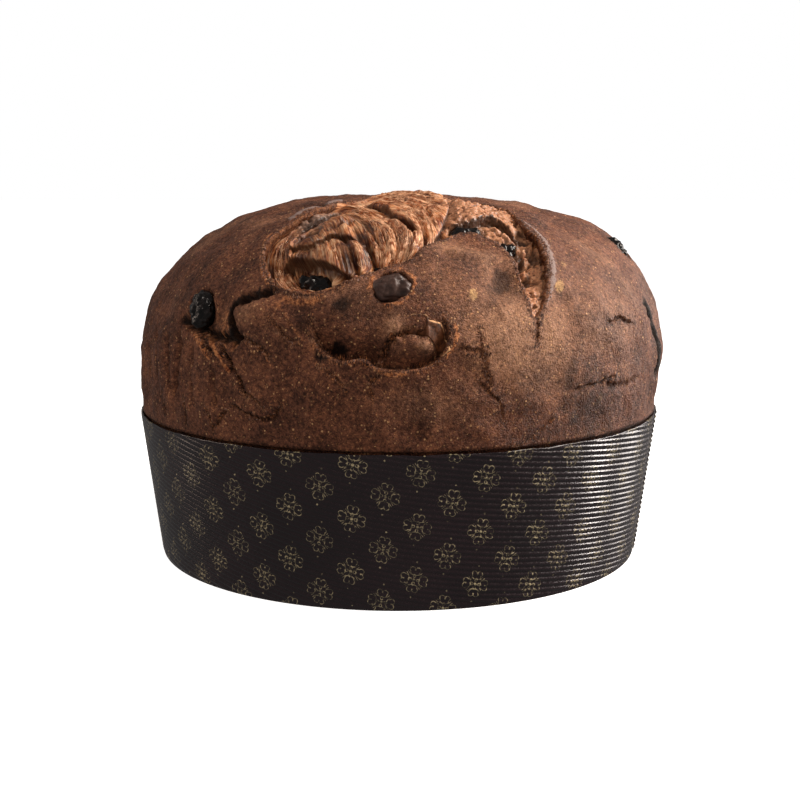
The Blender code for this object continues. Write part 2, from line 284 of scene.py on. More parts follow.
@dataclass(frozen=True)
class Groove:
    """A crack or a crease: a valley that fades at both ends, with unlike heights on its two sides.

    raw is how much bare crumb shows on its sides, and shade is the painted shade at its bottom. A
    depth below zero makes a ridge. lee is how far the painted shade climbs the side on the line's left.
    """

    line: Line
    depth: float
    width: float
    step: float = 0.0
    raw: float = 0.0
    shade: float = 0.8
    lee: float = 0.0

    def mark(self, skin: Skin) -> None:
        """Presses the groove into a skin."""
        near = self.line.near(skin.a, skin.b)
        wander = 1.0 + 0.45 * lumps(skin.flat, 3.5, 91)
        ends = near.ends(0.2)
        ragged = np.abs(near.distance + 0.35 * lumps(skin.flat, 1.3, 93))
        reach = ragged / (self.width * wander)
        valley = np.exp(-(reach**2)) * ends
        bank = near.side * np.exp(-near.distance / (3.0 * self.width + 1.5)) * smoothstep(0.0, 1.3, reach)
        skin.height += -self.depth * valley + 0.5 * self.step * bank * ends
        # Painted shade at the crack's bottom; with lee it also darkens the far wall above it.
        skin.paint[Paint.STAIN_AND_SHADE] += self.shade * np.exp(-((reach / 0.9) ** 2)) * ends
        skin.paint[Paint.RAW] += self.raw * np.exp(-((reach / 2.6) ** 2)) * ends
        if self.lee:
            torn = near.distance + 0.9 * lumps(skin.flat, 1.7, 97, 2)
            climb = smoothstep(1.0, 0.7, torn / (self.width + self.lee)) * (near.side > 0)
            skin.paint[Paint.STAIN_AND_SHADE] += 1.2 * climb * ends


@dataclass(frozen=True)
class Swelling:
    """A bump, or a dent where its height is below zero, with paint on it: stains and spots, and painted shade
    in the dents that are dark holes.
    """

    place: Place
    half_width: float
    half_length: float
    height: float
    dark: float = 0.0
    raw: float = 0.0
    tan: float = 0.0
    straw: float = 0.0
    pale: float = 0.0

    def mark(self, skin: Skin) -> None:
        """Adds the swelling to a skin."""
        out = oval(skin.a, skin.b, self.place, (self.half_width, self.half_length))
        spread = np.exp(-out)
        skin.height += self.height * spread
        # The painted patch: stains, and in the dark holes, painted shade.
        stain_and_shade = smoothstep(1.3, 0.25, out + 0.45 * lumps(skin.flat, 3.0, 57))
        skin.paint[Paint.STAIN_AND_SHADE] += self.dark * stain_and_shade
        skin.paint[Paint.RAW] += self.raw * stain_and_shade
        skin.paint[Paint.TAN] += self.tan * spread
        skin.paint[Paint.STRAW] += self.straw * stain_and_shade
        skin.paint[Paint.PALE] += self.pale * stain_and_shade


@dataclass(frozen=True)
class Streak:
    """A low raised stroke along a line: a torn edge of skin, or a strip where bare crumb shows."""

    line: Line
    width: float
    rise: float = 0.0
    raw: float = 0.0
    pale: float = 0.0

    def mark(self, skin: Skin) -> None:
        """Lays the streak on a skin."""
        near = self.line.near(skin.a, skin.b)
        ends = near.ends(0.15)
        ragged = near.distance + 0.35 * self.width * lumps(skin.flat, 1.6, 95)
        stroke = smoothstep(self.width, 0.5 * self.width, ragged) * ends
        skin.height += self.rise * np.exp(-((near.distance / self.width) ** 2)) * ends
        skin.paint[Paint.RAW] += self.raw * stroke
        skin.paint[Paint.PALE] += self.pale * stroke


@dataclass(frozen=True)
class Fold:
    """A fold whose upper dough dives under a raised lip along a line, on the line's left."""

    line: Line
    depth: float
    reach: float
    wall: float
    rise: float
    rise_width: float
    raw: float = 0.0
    pale: float = 0.0
    overhang: float = 0.9
    shade_width: float = 1.6

    def mark(self, skin: Skin) -> None:
        """Presses the fold into a skin, with its lip leaning over the crevice."""
        near = self.line.near(skin.a, skin.b)
        d = near.distance
        ends = near.ends(0.16)
        deep = self.depth * (1.0 + 0.3 * lumps(skin.flat, 9.0, 33))
        above = near.side > 0
        slope = -deep * (1.0 - np.clip(d / self.reach, 0.0, 1.0)) ** 1.6 * smoothstep(0.0, self.wall, d)
        lip = self.rise * np.exp(-d / self.rise_width) - 0.5 * np.exp(-((d / 0.5) ** 2))
        skin.height += ends * np.where(above, slope + lip * smoothstep(self.wall, 0.0, d), lip)
        tucked = 1.0 - 1.7 * smoothstep(0.0, self.wall, d)
        lean = np.where(above, tucked * smoothstep(3.0 * self.wall, self.wall, d), np.exp(-d / 2.2))
        toward = near.side * self.overhang * ends * lean
        skin.shift_a += toward * near.away_a
        skin.shift_b += toward * near.away_b
        # Painted shade down the wall of the crevice, under the lip.
        shade = smoothstep(self.wall + self.shade_width, 0.5 * self.wall, d)
        skin.paint[Paint.STAIN_AND_SHADE] += 1.1 * ends * above * shade
        edge = smoothstep(1.8, 0.2, d + 0.8 * lumps(skin.flat, 2.2, 35)) * ~above
        skin.paint[Paint.RAW] += self.raw * ends * edge
        skin.paint[Paint.PALE] += self.pale * ends * np.exp(-((d / 0.8) ** 2)) * ~above


@dataclass
class Skin:
    """A sheet of dough on the map: where its points are, their height and their paint."""

    a: Array
    b: Array
    height: Array = field(init=False)
    shift_a: Array = field(init=False)
    shift_b: Array = field(init=False)
    paint: dict[Paint, Array] = field(init=False)

    def __post_init__(self) -> None:
        """Starts flat and unpainted."""
        self.height, self.shift_a, self.shift_b = (np.zeros(len(self.a)) for _ in range(3))
        self.paint = {name: np.zeros(len(self.a)) for name in Paint}

    @property
    def flat(self) -> Array:
        """The places on the map, one per row."""
        return np.stack([self.a, self.b], 1)


@dataclass(frozen=True)
class Tear:
    """The mouth of the torn top, anticlockwise from the left lip's upper end.

    Each point is a place on the map and how far the crumb lies below the crust there.
    """

    lips: tuple[tuple[float, float, float], ...] = (
        (-24, -36, 0.8), (-34, -50, 2.2), (-44, -58, 3.2), (-52, -65, 4.0), (-57, -73, 4.6),
        (-58, -81, 5.2), (-56, -90, 5.4), (-53, -98, 4.6), (-46, -104, 2.6), (-38, -108, 2.2),
        (-28, -108, 2.6), (-18, -105, 3.2), (-9, -102, 2.8), (0, -99, 2.2), (7, -91, 1.8),
        (13, -85, 1.8), (21, -79, 2.6), (30, -79, 4.2), (37, -83, 5.5), (43, -92, 5.0),
        (48, -101, 3.5), (54, -111, 1.4), (57, -107, 1.6), (57.5, -98, 3.0), (56.5, -89, 4.4),
        (54.5, -79, 4.8), (50.5, -69, 4.4), (46, -61, 3.0), (44, -46, 1.0), (34, -30, 0.8),
        (18, -22, 0.8), (2, -16, 0.6), (-14, -26, 0.7),
    )

    def mouth(self) -> Line:
        """The mouth's outline on the map."""
        return Line(tuple((a, b) for a, b, _ in self.lips), closed=True, per_span=6)

    def drop(self, along: Array) -> Array:
        """How far the crumb lies below the crust along the mouth."""
        return self.mouth().value_at(tuple(drop for *_, drop in self.lips), along)


@dataclass(frozen=True)
class Dough:
    """Everything that shapes the crust: slow swelling, the lips, folds, cracks, dents and stains."""

    dome: Dome = Dome()
    tear: Tear = Tear()
    swell: float = 1.3
    swell_size: float = 38.0
    lump: float = 0.55
    lump_size: float = 9.0
    pebble: float = 0.16
    pebble_size: float = 2.2
    lip_rise: float = 1.0
    lip_width: float = 5.0

    def folds(self) -> tuple[Fold, ...]:
        """The folds where dough dives under a raised lip."""
        return (
            Fold(
                Line(((-39, -117), (-38.5, -126), (-34.5, -132), (-27, -136.4), (-17.5, -137),
                      (-10.7, -140.8), (0, -142), (11, -140.6), (18, -135.6), (19.6, -128), (16, -120))),
                depth=7.0, reach=14.0, wall=0.9, rise=1.3, rise_width=4.0,
                raw=0.9, overhang=0.6, shade_width=2.0,
            ),
            Fold(
                Line(((-62, 24), (-44, 16), (-26, 13), (-10, 4))),
                depth=3.4, reach=9.0, wall=1.0, rise=1.2, rise_width=5.0, raw=0.7, pale=0.5,
            ),
            Fold(
                Line(((30, 6), (40, 30), (48, 48), (62, 72))),
                depth=3.8, reach=10.0, wall=1.0, rise=1.3, rise_width=5.0, raw=0.7, pale=0.5,
            ),
        )

    def streaks(self) -> tuple[Streak, ...]:
        """The torn edges that dried pale, and the strips of bare crumb beside the folds."""
        return (
            Streak(Line(((38, -56), (43, -57), (48, -61), (52.5, -67.5), (56, -76), (58.3, -85),
                         (59, -93), (58.6, -101), (57, -109))), 1.5, 0.8, pale=1.0),
            Streak(Line(((-51, -61), (-56.3, -67), (-58.4, -75), (-59, -83), (-57.6, -91), (-54.5, -99))),
                   0.7, 0.3, raw=0.6, pale=0.25),
            Streak(Line(((-50, -58), (-42, -51), (-34, -44), (-28, -36), (-23, -27))), 3.2, 1.3, pale=0.85),
            Streak(Line(((-97, -90), (-94, -97), (-92.3, -103), (-90.5, -109))), 1.3, 0.7, raw=1.1),
            Streak(Line(((-88, -101), (-86.8, -107), (-85.4, -113), (-83.5, -120))), 1.0, 0.6, raw=1.0),
            Streak(Line(((-52, -105), (-46, -108.5), (-38, -111), (-30, -110))), 2.2, 0.4, raw=0.55),
            Streak(Line(((-56, -103), (-50, -111), (-46, -120), (-42, -128))), 1.3, 0.3, raw=0.4),
            Streak(Line(((-14, -105), (-13, -109), (-12, -113))), 1.3, 0.3, raw=0.9),
            Streak(Line(((2.5, -106), (3.2, -110), (2, -114))), 1.0, 0.3, raw=0.8),
            Streak(Line(((-10, -116.5), (-5, -117.5), (0, -116.5))), 1.1, 0.3, raw=0.8),
            Streak(Line(((20, -122), (23, -127), (22.5, -132), (18.5, -137))), 0.9, 0.3, raw=0.9),
            Streak(Line(((20, -86), (27, -87), (33, -86))), 0.8, 0.4, raw=0.7),
        )

    def grooves(self) -> tuple[Groove, ...]:
        """The cracks and creases: each one's line, depth, width, step, raw, painted shade and lee."""
        front = (
            (((-70, -112.5), (-72.4, -110.5), (-73.8, -107), (-75, -102.5), (-74.3, -98.6), (-71, -96.8),
              (-66, -97.6), (-61, -99.3), (-54.5, -100.4), (-49, -101)), 4.6, 1.4, -0.9, 0.4, 2.2, 2.0),
            (((-104, -77), (-100.6, -80.4), (-95.9, -87.4), (-90.6, -95.2), (-85.4, -101.4), (-78.4, -107.3),
              (-72, -111.4), (-67, -113.5)), 4.2, 1.2, -1.0, 0.5, 2.0, 1.6),
            (((108, -57), (116, -52), (124, -51), (132, -51.5), (139, -53), (147, -57)),
             3.4, 1.7, -0.6, 0.2, 1.8, 3.4),
            (((-94, -92), (-92, -97.5), (-90.5, -102.5), (-88.6, -107.3)), 2.4, 0.85, 0.4, 0.4, 2.0, 0.6),
            (((-84.4, -104), (-83.4, -110), (-82.3, -115), (-80.8, -120.4), (-79.3, -127), (-78, -134)),
             2.6, 0.85, 0.4, 0.3, 2.0, 0.6),
            (((-70, -112), (-66, -116), (-62, -121), (-60, -126)), 1.2, 0.6, 0.4, 0.3, 0.8),
            (((-57, -110), (-53, -116), (-50, -121), (-46, -124)), 0.8, 0.5, 0.2, 0.3, 0.6),
            (((-90, -130), (-85.4, -133.5), (-80.3, -138.7), (-73.1, -144.2), (-66.9, -145.5), (-60, -144)),
             1.6, 0.65, 0.9, 0.1, 1.0),
            (((-80, -129), (-76, -133), (-72, -138), (-70, -142)), 1.2, 0.55, 0.5, 0.1, 0.9),
            (((-107, -128), (-102, -131), (-96, -130), (-92, -131)), 1.5, 0.6, 0.5, 0.0, 1.0),
            (((-104, -121), (-104, -127), (-107, -132)), 1.1, 0.5, 0.4, 0.0, 0.9),
            (((-119, -104), (-121, -110), (-126, -114)), 1.3, 0.6, 0.4, 0.0, 0.9),
            (((-133, -84), (-135, -90), (-140, -93)), 1.3, 0.6, 0.4, 0.0, 0.9),
            (((-119, -56), (-122, -66), (-127, -74), (-138, -79)), 2.6, 1.8, 1.2, 0.0, 0.3),
            (((-112, -72), (-116.6, -82), (-122.4, -89), (-128, -97)), 2.6, 1.6, 1.0, 0.0, 0.35),
            (((-102, -80), (-108.9, -87), (-117.8, -94), (-128.1, -99)), 2.2, 1.8, 1.0, 0.0, 0.3),
            (((-99, -92), (-104, -100), (-110, -108), (-112, -116)), 1.6, 1.6, 0.8, 0.0, 0.25),
            (((-91, -112), (-95, -119), (-99, -127)), 1.4, 1.5, 0.7, 0.1, 0.25),
            (((-131, -48), (-135, -58), (-142, -64)), 1.8, 1.6, 0.6, 0.0, 0.3),
            (((88, -125), (96, -117), (104, -109), (112, -99)), 1.2, 0.8, 1.2, 0.2, 0.5),
            (((91, -90), (93.9, -87.1), (97.1, -81.7), (102.9, -77.9), (108.6, -72.4)),
             1.1, 0.8, 0.7, 0.1, 0.35),
            (((106, -110), (112, -104), (119, -97), (126, -86), (132, -77)), 1.2, 1.0, 1.3, 0.1, 0.2),
            (((32, -124), (35, -130), (39, -136), (44, -142)), 0.9, 0.7, 0.4, 0.1, 0.4),
            (((36, -141), (44, -144), (50, -146), (56, -152)), 0.7, 0.6, 0.3, 0.1, 0.35),
            (((84, -138), (80, -145), (74, -152), (66, -158)), 0.7, 0.5, 0.4, 0.1, 0.6),
            (((122, -118), (118, -124), (117, -132)), 0.7, 0.5, 0.3, 0.0, 0.6),
            (((56, -108), (57, -114), (60, -120)), 0.7, 0.6, 0.5, 0.3, 0.4),
            (((10, -93), (20, -95), (28, -94), (37, -92)), 0.8, 1.5, 1.2, 0.1, 0.2),
            (((24, -131), (30, -131), (37, -130)), 0.8, 0.7, 0.7, 0.3, 0.3),
            (((-12, -140), (-8, -136.5), (-6, -131), (-2, -128.5), (4, -127.6), (11, -128.2), (16, -131),
              (18.5, -135)), 3.4, 0.9, -0.4, 0.2, 1.0),
            (((-8, -142), (-14, -146), (-13, -152)), 1.0, 0.8, 0.5, 0.3, 0.4),
            (((-38, -136), (-31, -141), (-26, -147)), 0.6, 0.6, 0.4, 0.2, 0.3),
        )
        back = (
            (((-40, 128), (-30, 120), (-24, 108)), 1.3, 0.7, 0.5, 0.1, 0.8),
            (((60, 122), (70, 116), (76, 106), (88, 104)), 1.4, 0.7, 0.6, 0.1, 0.8),
            (((-112, 70), (-104, 62), (-104, 48)), 1.4, 0.8, 0.6, 0.1, 0.8),
            (((118, 40), (124, 54), (120, 68), (126, 80)), 1.5, 0.8, 0.6, 0.1, 0.8),
            (((-8, 52), (2, 62), (-2, 76)), 1.0, 0.6, 0.4, 0.2, 0.8),
        )
        return tuple(Groove(Line(points), *sizes) for points, *sizes in (*front, *back))

    def swellings(self) -> tuple[Swelling, ...]:
        """The bumps and dents, with dark stains, painted shade in dark holes, and paler patches that are
        partly painted light.
        """
        return (
            Swelling((-12, -114), 20, 8, 1.4),
            Swelling((24, -98), 18, 14, 1.4),
            Swelling((-56, -112), 12, 9, 2.2),
            Swelling((-84, -94), 10, 7, -2.4),
            Swelling((-79, -98), 6, 5, 0.0, raw=0.35, tan=0.4),
            Swelling((-66, -103), 7, 5, 1.2, tan=0.4),
            # Painted shade: the dark hole in the front pocket's corner.
            Swelling((-32.0, -131.8), 6.5, 3.6, -1.0, dark=1.6),
            Swelling((22, -85), 11, 5.0, -2.4),
            Swelling((-98, -112), 9, 12, 1.8),
            Swelling((-122, -80), 9, 12, 1.2),
            Swelling((40.0, -102.0), 8.6, 9.0, -2.8, dark=0.42),
            Swelling((38.5, -99), 4.6, 7.0, -0.6, dark=0.38),
            Swelling((43, -91), 4.0, 4.0, 1.0, pale=0.25, tan=0.6),
            # Painted shade in a small dark hole by the mouth's upper left edge.
            Swelling((-33.5, -41), 2.8, 3.4, -2.4, dark=1.4),
            Swelling((31, -97), 3.0, 6.0, 0.8, tan=0.5),
            Swelling((5.0, -134.5), 7.0, 4.4, 2.8, dark=0.1),
            Swelling((12.0, -133), 5.4, 4.2, 2.4),
            Swelling((-2.4, -136), 3.0, 2.4, 1.0),
            # Paler paint on the lump's upper right: a painted highlight.
            Swelling((10.5, -132), 4.0, 2.0, 0.6, tan=1.0),
            Swelling((-4, -126), 3.4, 4.0, 0.6, tan=1.0),
            Swelling((138, -44), 12, 12, 2.2),
            Swelling((88, 4), 24, 24, 1.0),
            # Darker towards the case rim on the lower right.
            Swelling((104, -124), 28, 16, 0.0, dark=0.5),
            Swelling((-26, -115.5), 3.6, 2.6, -0.4, dark=0.8),
            Swelling((-42, -119), 3.0, 2.2, -0.3, dark=0.5),
            Swelling((-69, -30), 4.4, 3.4, 0.2, dark=0.6),
            Swelling((-38, -32), 9, 5, 0.8, dark=0.35),
            Swelling((72, 20), 5.0, 4.0, 0.6, dark=0.5),
            Swelling((-30, 80), 6.0, 4.0, 0.8, dark=0.5),
            Swelling((44, 96), 5.0, 3.6, 0.6, dark=0.4),
            Swelling((-28, -120), 12, 6.0, 0.2, raw=0.22),
            Swelling((-36, -109), 4.0, 2.4, 0.3, tan=0.8, raw=0.3),
            Swelling((41, -61), 4.4, 3.6, 0.5, pale=1.0),
            # Paler over the right front: a lighter baked tone, and painted light where the key light falls.
            Swelling((20, -90), 16, 5.0, 0.2, tan=0.7),
            Swelling((50, -122), 24, 14, 1.0, tan=1.0),
            Swelling((60, -110), 26, 18, 0.0, tan=0.5),
            Swelling((92, -84), 24, 16, 0.4, tan=0.4),
            Swelling((18, -155), 22, 7, 0.2, tan=0.4),
            Swelling((62.5, -91), 2.6, 4.4, 0.2, straw=0.85),
            Swelling((63, -80), 1.8, 3.0, 0.2, straw=0.6),
            Swelling((27, -111.4), 2.4, 3.4, 0.2, straw=0.9),
            Swelling((66, -62), 2.0, 4.0, 0.2, straw=0.6),
            Swelling((-24, -162), 2.0, 3.0, 0.1, straw=0.4),
            Swelling((108, -114), 2.4, 3.6, 0.1, straw=0.6),
            Swelling((27, -129), 3.4, 1.4, 0.2, raw=0.4, straw=0.6),
        )

    def shape(self, a: Array, b: Array, sockets: tuple[Socket, ...] = ()) -> Skin:
        """The crust's height and paint, without what lies inside the mouth.

        Args:
            a: First map coordinates.
            b: Second map coordinates.
            sockets: The hollows that raisins sit in.

        Returns:
            The skin.
        """
        skin = Skin(a, b)
        places = self.dome.points(a, b)
        swell = [noise.fractal((x, y, 3.0), 0.8, 2.0, 3) for x, y in skin.flat / self.swell_size]
        skin.height += self.swell * np.array(swell)
        skin.height += self.lump * lumps(places, self.lump_size, 11, 3)
        skin.height += self.pebble * lumps(places, self.pebble_size, 23, 2)
        mouth = self.tear.mouth().near(a, b)
        edge = smoothstep(0.4, 2.4, self.tear.drop(mouth.along))
        skin.height += edge * self.lip_rise * np.exp(-mouth.distance / self.lip_width)
        rim = np.exp(-((mouth.distance / 0.9) ** 2)) * smoothstep(1.5, 4.0, self.tear.drop(mouth.along))
        skin.paint[Paint.PALE] += 0.9 * rim
        skin.paint[Paint.RAW] += 0.16 * np.exp(-((mouth.distance / 1.6) ** 2))
        for mark in (*self.folds(), *self.grooves(), *self.streaks(), *self.swellings(), *sockets):
            mark.mark(skin)
        skin.paint[Paint.TAN] *= smoothstep(172.0, 146.0, np.hypot(a, b))
        patch = lumps(places, 26.0, 61, 3)
        skin.paint[Paint.TAN] += 0.35 * smoothstep(0.1, 0.9, patch) * smoothstep(158.0, 132.0, np.hypot(a, b))
        skin.height *= smoothstep(self.dome.reach() + 1.0, self.dome.reach() - 9.0, np.hypot(a, b))
        return skin


@dataclass(frozen=True)
class Socket:
    """The hollow round a raisin, on the map: its middle, half axes, turn and the raisin's depth."""

    place: Place
    half_length: float
    half_width: float
    turn: float
    depth: float
    rim: float = 0.5
    raw: float = 0.25

    def mark(self, skin: Skin) -> None:
        """Presses the socket into a skin, with a low rim of dough round it."""
        turn = math.radians(self.turn)
        da, db = skin.a - self.place[0], skin.b - self.place[1]
        across = (da * math.cos(turn) + db * math.sin(turn)) / self.half_length
        along = (-da * math.sin(turn) + db * math.cos(turn)) / self.half_width
        out = np.hypot(across, along) + 0.05 * lumps(skin.flat, 2.0, 71)
        rim = np.exp(-(((out - 1.3) / 0.22) ** 2))
        skin.height += -self.depth * smoothstep(1.12, 0.8, out) + self.rim * rim
        # Painted shade in the hollow round the raisin.
        skin.paint[Paint.STAIN_AND_SHADE] += 0.9 * smoothstep(1.2, 1.0, out)
        broken = smoothstep(-0.2, 0.5, lumps(skin.flat, 2.4, 41))
        skin.paint[Paint.RAW] += self.raw * np.exp(-(((out - 1.3) / 0.16) ** 2)) * broken


def feed(tree: bpy.types.NodeTree, target: bpy.types.Node, inputs: Inputs) -> None:
    """Gives a node's inputs their values, or links them to output sockets."""
    for key, value in inputs.items():
        if isinstance(value, Wire):
            tree.links.new(value, target.inputs[key])
        else:
            target.inputs[key].default_value = value


def node(
    tree: bpy.types.NodeTree,
    kind: str,
    inputs: Inputs | None = None,
    stops: dict[float, str] | None = None,
    **settings: object,
) -> bpy.types.Node:
    """Adds a node to a tree.

    Args:
        tree: The node tree.
        kind: The node's type name without its ShaderNode prefix.
        inputs: Values or output sockets, by the name or number of the input socket.
        stops: A colour ramp's colours, as hexadecimal digits for each position.
        settings: The node's own properties.

    Returns:
        The node.
    """
    made = tree.nodes.new("ShaderNode" + kind)
    for name, value in settings.items():
        setattr(made, name, value)
    feed(tree, made, inputs or {})
    if stops:
        places = made.color_ramp.elements
        while len(places) < len(stops):
            places.new(0.5)
        for place, (position, code) in zip(places, sorted(stops.items())):
            place.position, place.color = position, linear(code)
    return made


def new_material(name: str) -> tuple[bpy.types.Material, bpy.types.NodeTree, bpy.types.Node]:
    """An empty material, its tree, and its Principled shader."""
    made = bpy.data.materials.new(name)
    made.use_nodes = True
    return made, made.node_tree, made.node_tree.nodes["Principled BSDF"]


@dataclass(frozen=True)
class CrustFinish:
    """Baked cocoa crust: dry and dark brown, finely mottled with caramel and pale bran specks.

    Where it tore, the caramel crumb shows through, and a thin edge of skin dries pale.
    """

    deep: str = "2e1a14"
    dark: str = "4e2f23"
    middle: str = "6c4332"
    light: str = "905c41"
    tan_dark: str = "62402f"
    tan_light: str = "ba8b6c"
    speck: str = "e0ae7c"
    fleck: str = "c88c5e"
    bran: str = "c9a06c"
    raw_dark: str = "6a321c"
    raw_light: str = "cc8858"
    pale: str = "94807a"
    shade: str = "070302"
    mottle_size: float = 14.0
    grain_size: float = 1.5
    fleck_size: float = 0.95
    speck_size: float = 0.55
    roughness: float = 0.60

    def ragged(
        self, tree: bpy.types.NodeTree, paint: Paint, grain: Wire, low: float, high: float
    ) -> Wire:
        """A painted value broken up by the grain, from 0 at low to 1 at high."""
        value = node(tree, "Attribute", attribute_name=paint.value).outputs["Fac"]
        broken = node(tree, "Math", {0: value, 1: grain}, operation="MULTIPLY").outputs[0]
        return node(tree, "MapRange", {"Value": broken, 1: low, 2: high}).outputs[0]

    def material(self) -> bpy.types.Material:
        """Builds the material."""
        made, tree, shader = new_material("baked_cocoa_crust")
        place = node(tree, "TexCoord").outputs["Object"]
        mottle = node(tree, "TexNoise", {
            "Vector": place, "Scale": 1000 / self.mottle_size, "Detail": 4.0, "Roughness": 0.6,
        }).outputs["Fac"]
        grain = node(tree, "TexNoise", {
            "Vector": place, "Scale": 1000 / self.grain_size, "Detail": 4.0, "Roughness": 0.75,
        }).outputs["Fac"]
        both = node(tree, "Mix", {0: 0.62, 2: mottle, 3: grain}).outputs[0]
        base = node(tree, "ValToRGB", {"Fac": both}, {
            0.36: self.deep, 0.45: self.dark, 0.53: self.middle, 0.64: self.light,
        }).outputs["Color"]
        paler = node(tree, "ValToRGB", {"Fac": both}, {
            0.38: self.tan_dark, 0.60: self.tan_light,
        }).outputs["Color"]
        squiggle = node(tree, "TexNoise", {
            "Vector": place, "Scale": 1000 / self.fleck_size, "Detail": 2.0,
            "Roughness": 0.7, "Distortion": 1.4,
        }).outputs["Fac"]
        sown = node(tree, "MapRange", {"Value": mottle, 1: 0.36, 2: 0.62, 3: 0.35, 4: 1.0}).outputs[0]
        fleck = node(tree, "MapRange", {"Value": squiggle, 1: 0.60, 2: 0.68, 3: 0.0, 4: 0.75}).outputs[0]
        fleck = node(tree, "Math", {0: fleck, 1: sown}, operation="MULTIPLY").outputs[0]
        # Paler paint: a lighter baked tone, partly painted light on the right front.
        tan = node(tree, "Attribute", attribute_name=Paint.TAN.value).outputs["Fac"]
        pore = node(tree, "MapRange", {"Value": squiggle, 1: 0.42, 2: 0.34, 3: 0.0, 4: 0.7}).outputs[0]
        cells = node(tree, "TexVoronoi", {
            "Vector": place, "Scale": 1000 / (2.2 * self.speck_size), "Randomness": 1.0,
        })
        lot = node(tree, "SeparateColor", {0: cells.outputs["Color"]})
        size = node(tree, "MapRange", {"Value": lot.outputs[1], 3: 0.16, 4: 0.48}).outputs[0]
        inside = node(tree, "MapRange", {
            "Value": cells.outputs["Distance"], 1: size, 2: 0.08, 3: 0.0, 4: 1.0,
        }).outputs[0]
        some = node(tree, "MapRange", {"Value": lot.outputs[0], 1: 0.70, 2: 0.95, 3: 0.0, 4: 1.0}).outputs[0]
        speck = node(tree, "Math", {0: inside, 1: some}, operation="MULTIPLY").outputs[0]
        raw = node(tree, "ValToRGB", {"Fac": grain}, {
            0.38: self.raw_dark, 0.62: self.raw_light,
        }).outputs["Color"]
        # Dark paint dims the crust towards near black: stains, and painted shade in cracks, folds and holes.
        dark = node(tree, "Attribute", attribute_name=Paint.STAIN_AND_SHADE.value).outputs["Fac"]
        dim = node(tree, "MapRange", {"Value": dark, 3: 0.0, 4: 0.94}).outputs[0]
        colour = base
        for amount, above in (
            (tan, paler),
            (fleck, linear(self.fleck)),
            (pore, linear(self.deep)),
            (speck, linear(self.speck)),
            (self.ragged(tree, Paint.RAW, grain, 0.14, 0.38), raw),
            (self.ragged(tree, Paint.STRAW, grain, 0.26, 0.50), linear(self.bran)),
            (self.ragged(tree, Paint.PALE, grain, 0.18, 0.45), linear(self.pale)),
            (dim, linear(self.shade)),
        ):
            colour = node(tree, "Mix", {0: amount, 6: colour, 7: above}, data_type="RGBA").outputs[2]
        fine = node(tree, "TexNoise", {"Vector": place, "Scale": 1000 / 0.7, "Detail": 2.0}).outputs["Fac"]
        relief = node(tree, "Math", {0: squiggle, 1: fine}, operation="ADD").outputs[0]
        bump = node(tree, "Bump", {"Height": relief, "Strength": 1.0, "Distance": 0.6 * MM})
        rough = node(tree, "MapRange", {
            "Value": grain, 1: 0.35, 2: 0.65, 3: self.roughness + 0.12, 4: self.roughness - 0.08,
        }).outputs[0]
        feed(tree, shader, {
            "Base Color": colour,
            "Roughness": rough,
            "Normal": bump.outputs["Normal"],
            "Specular IOR Level": 0.22,
        })
        return made


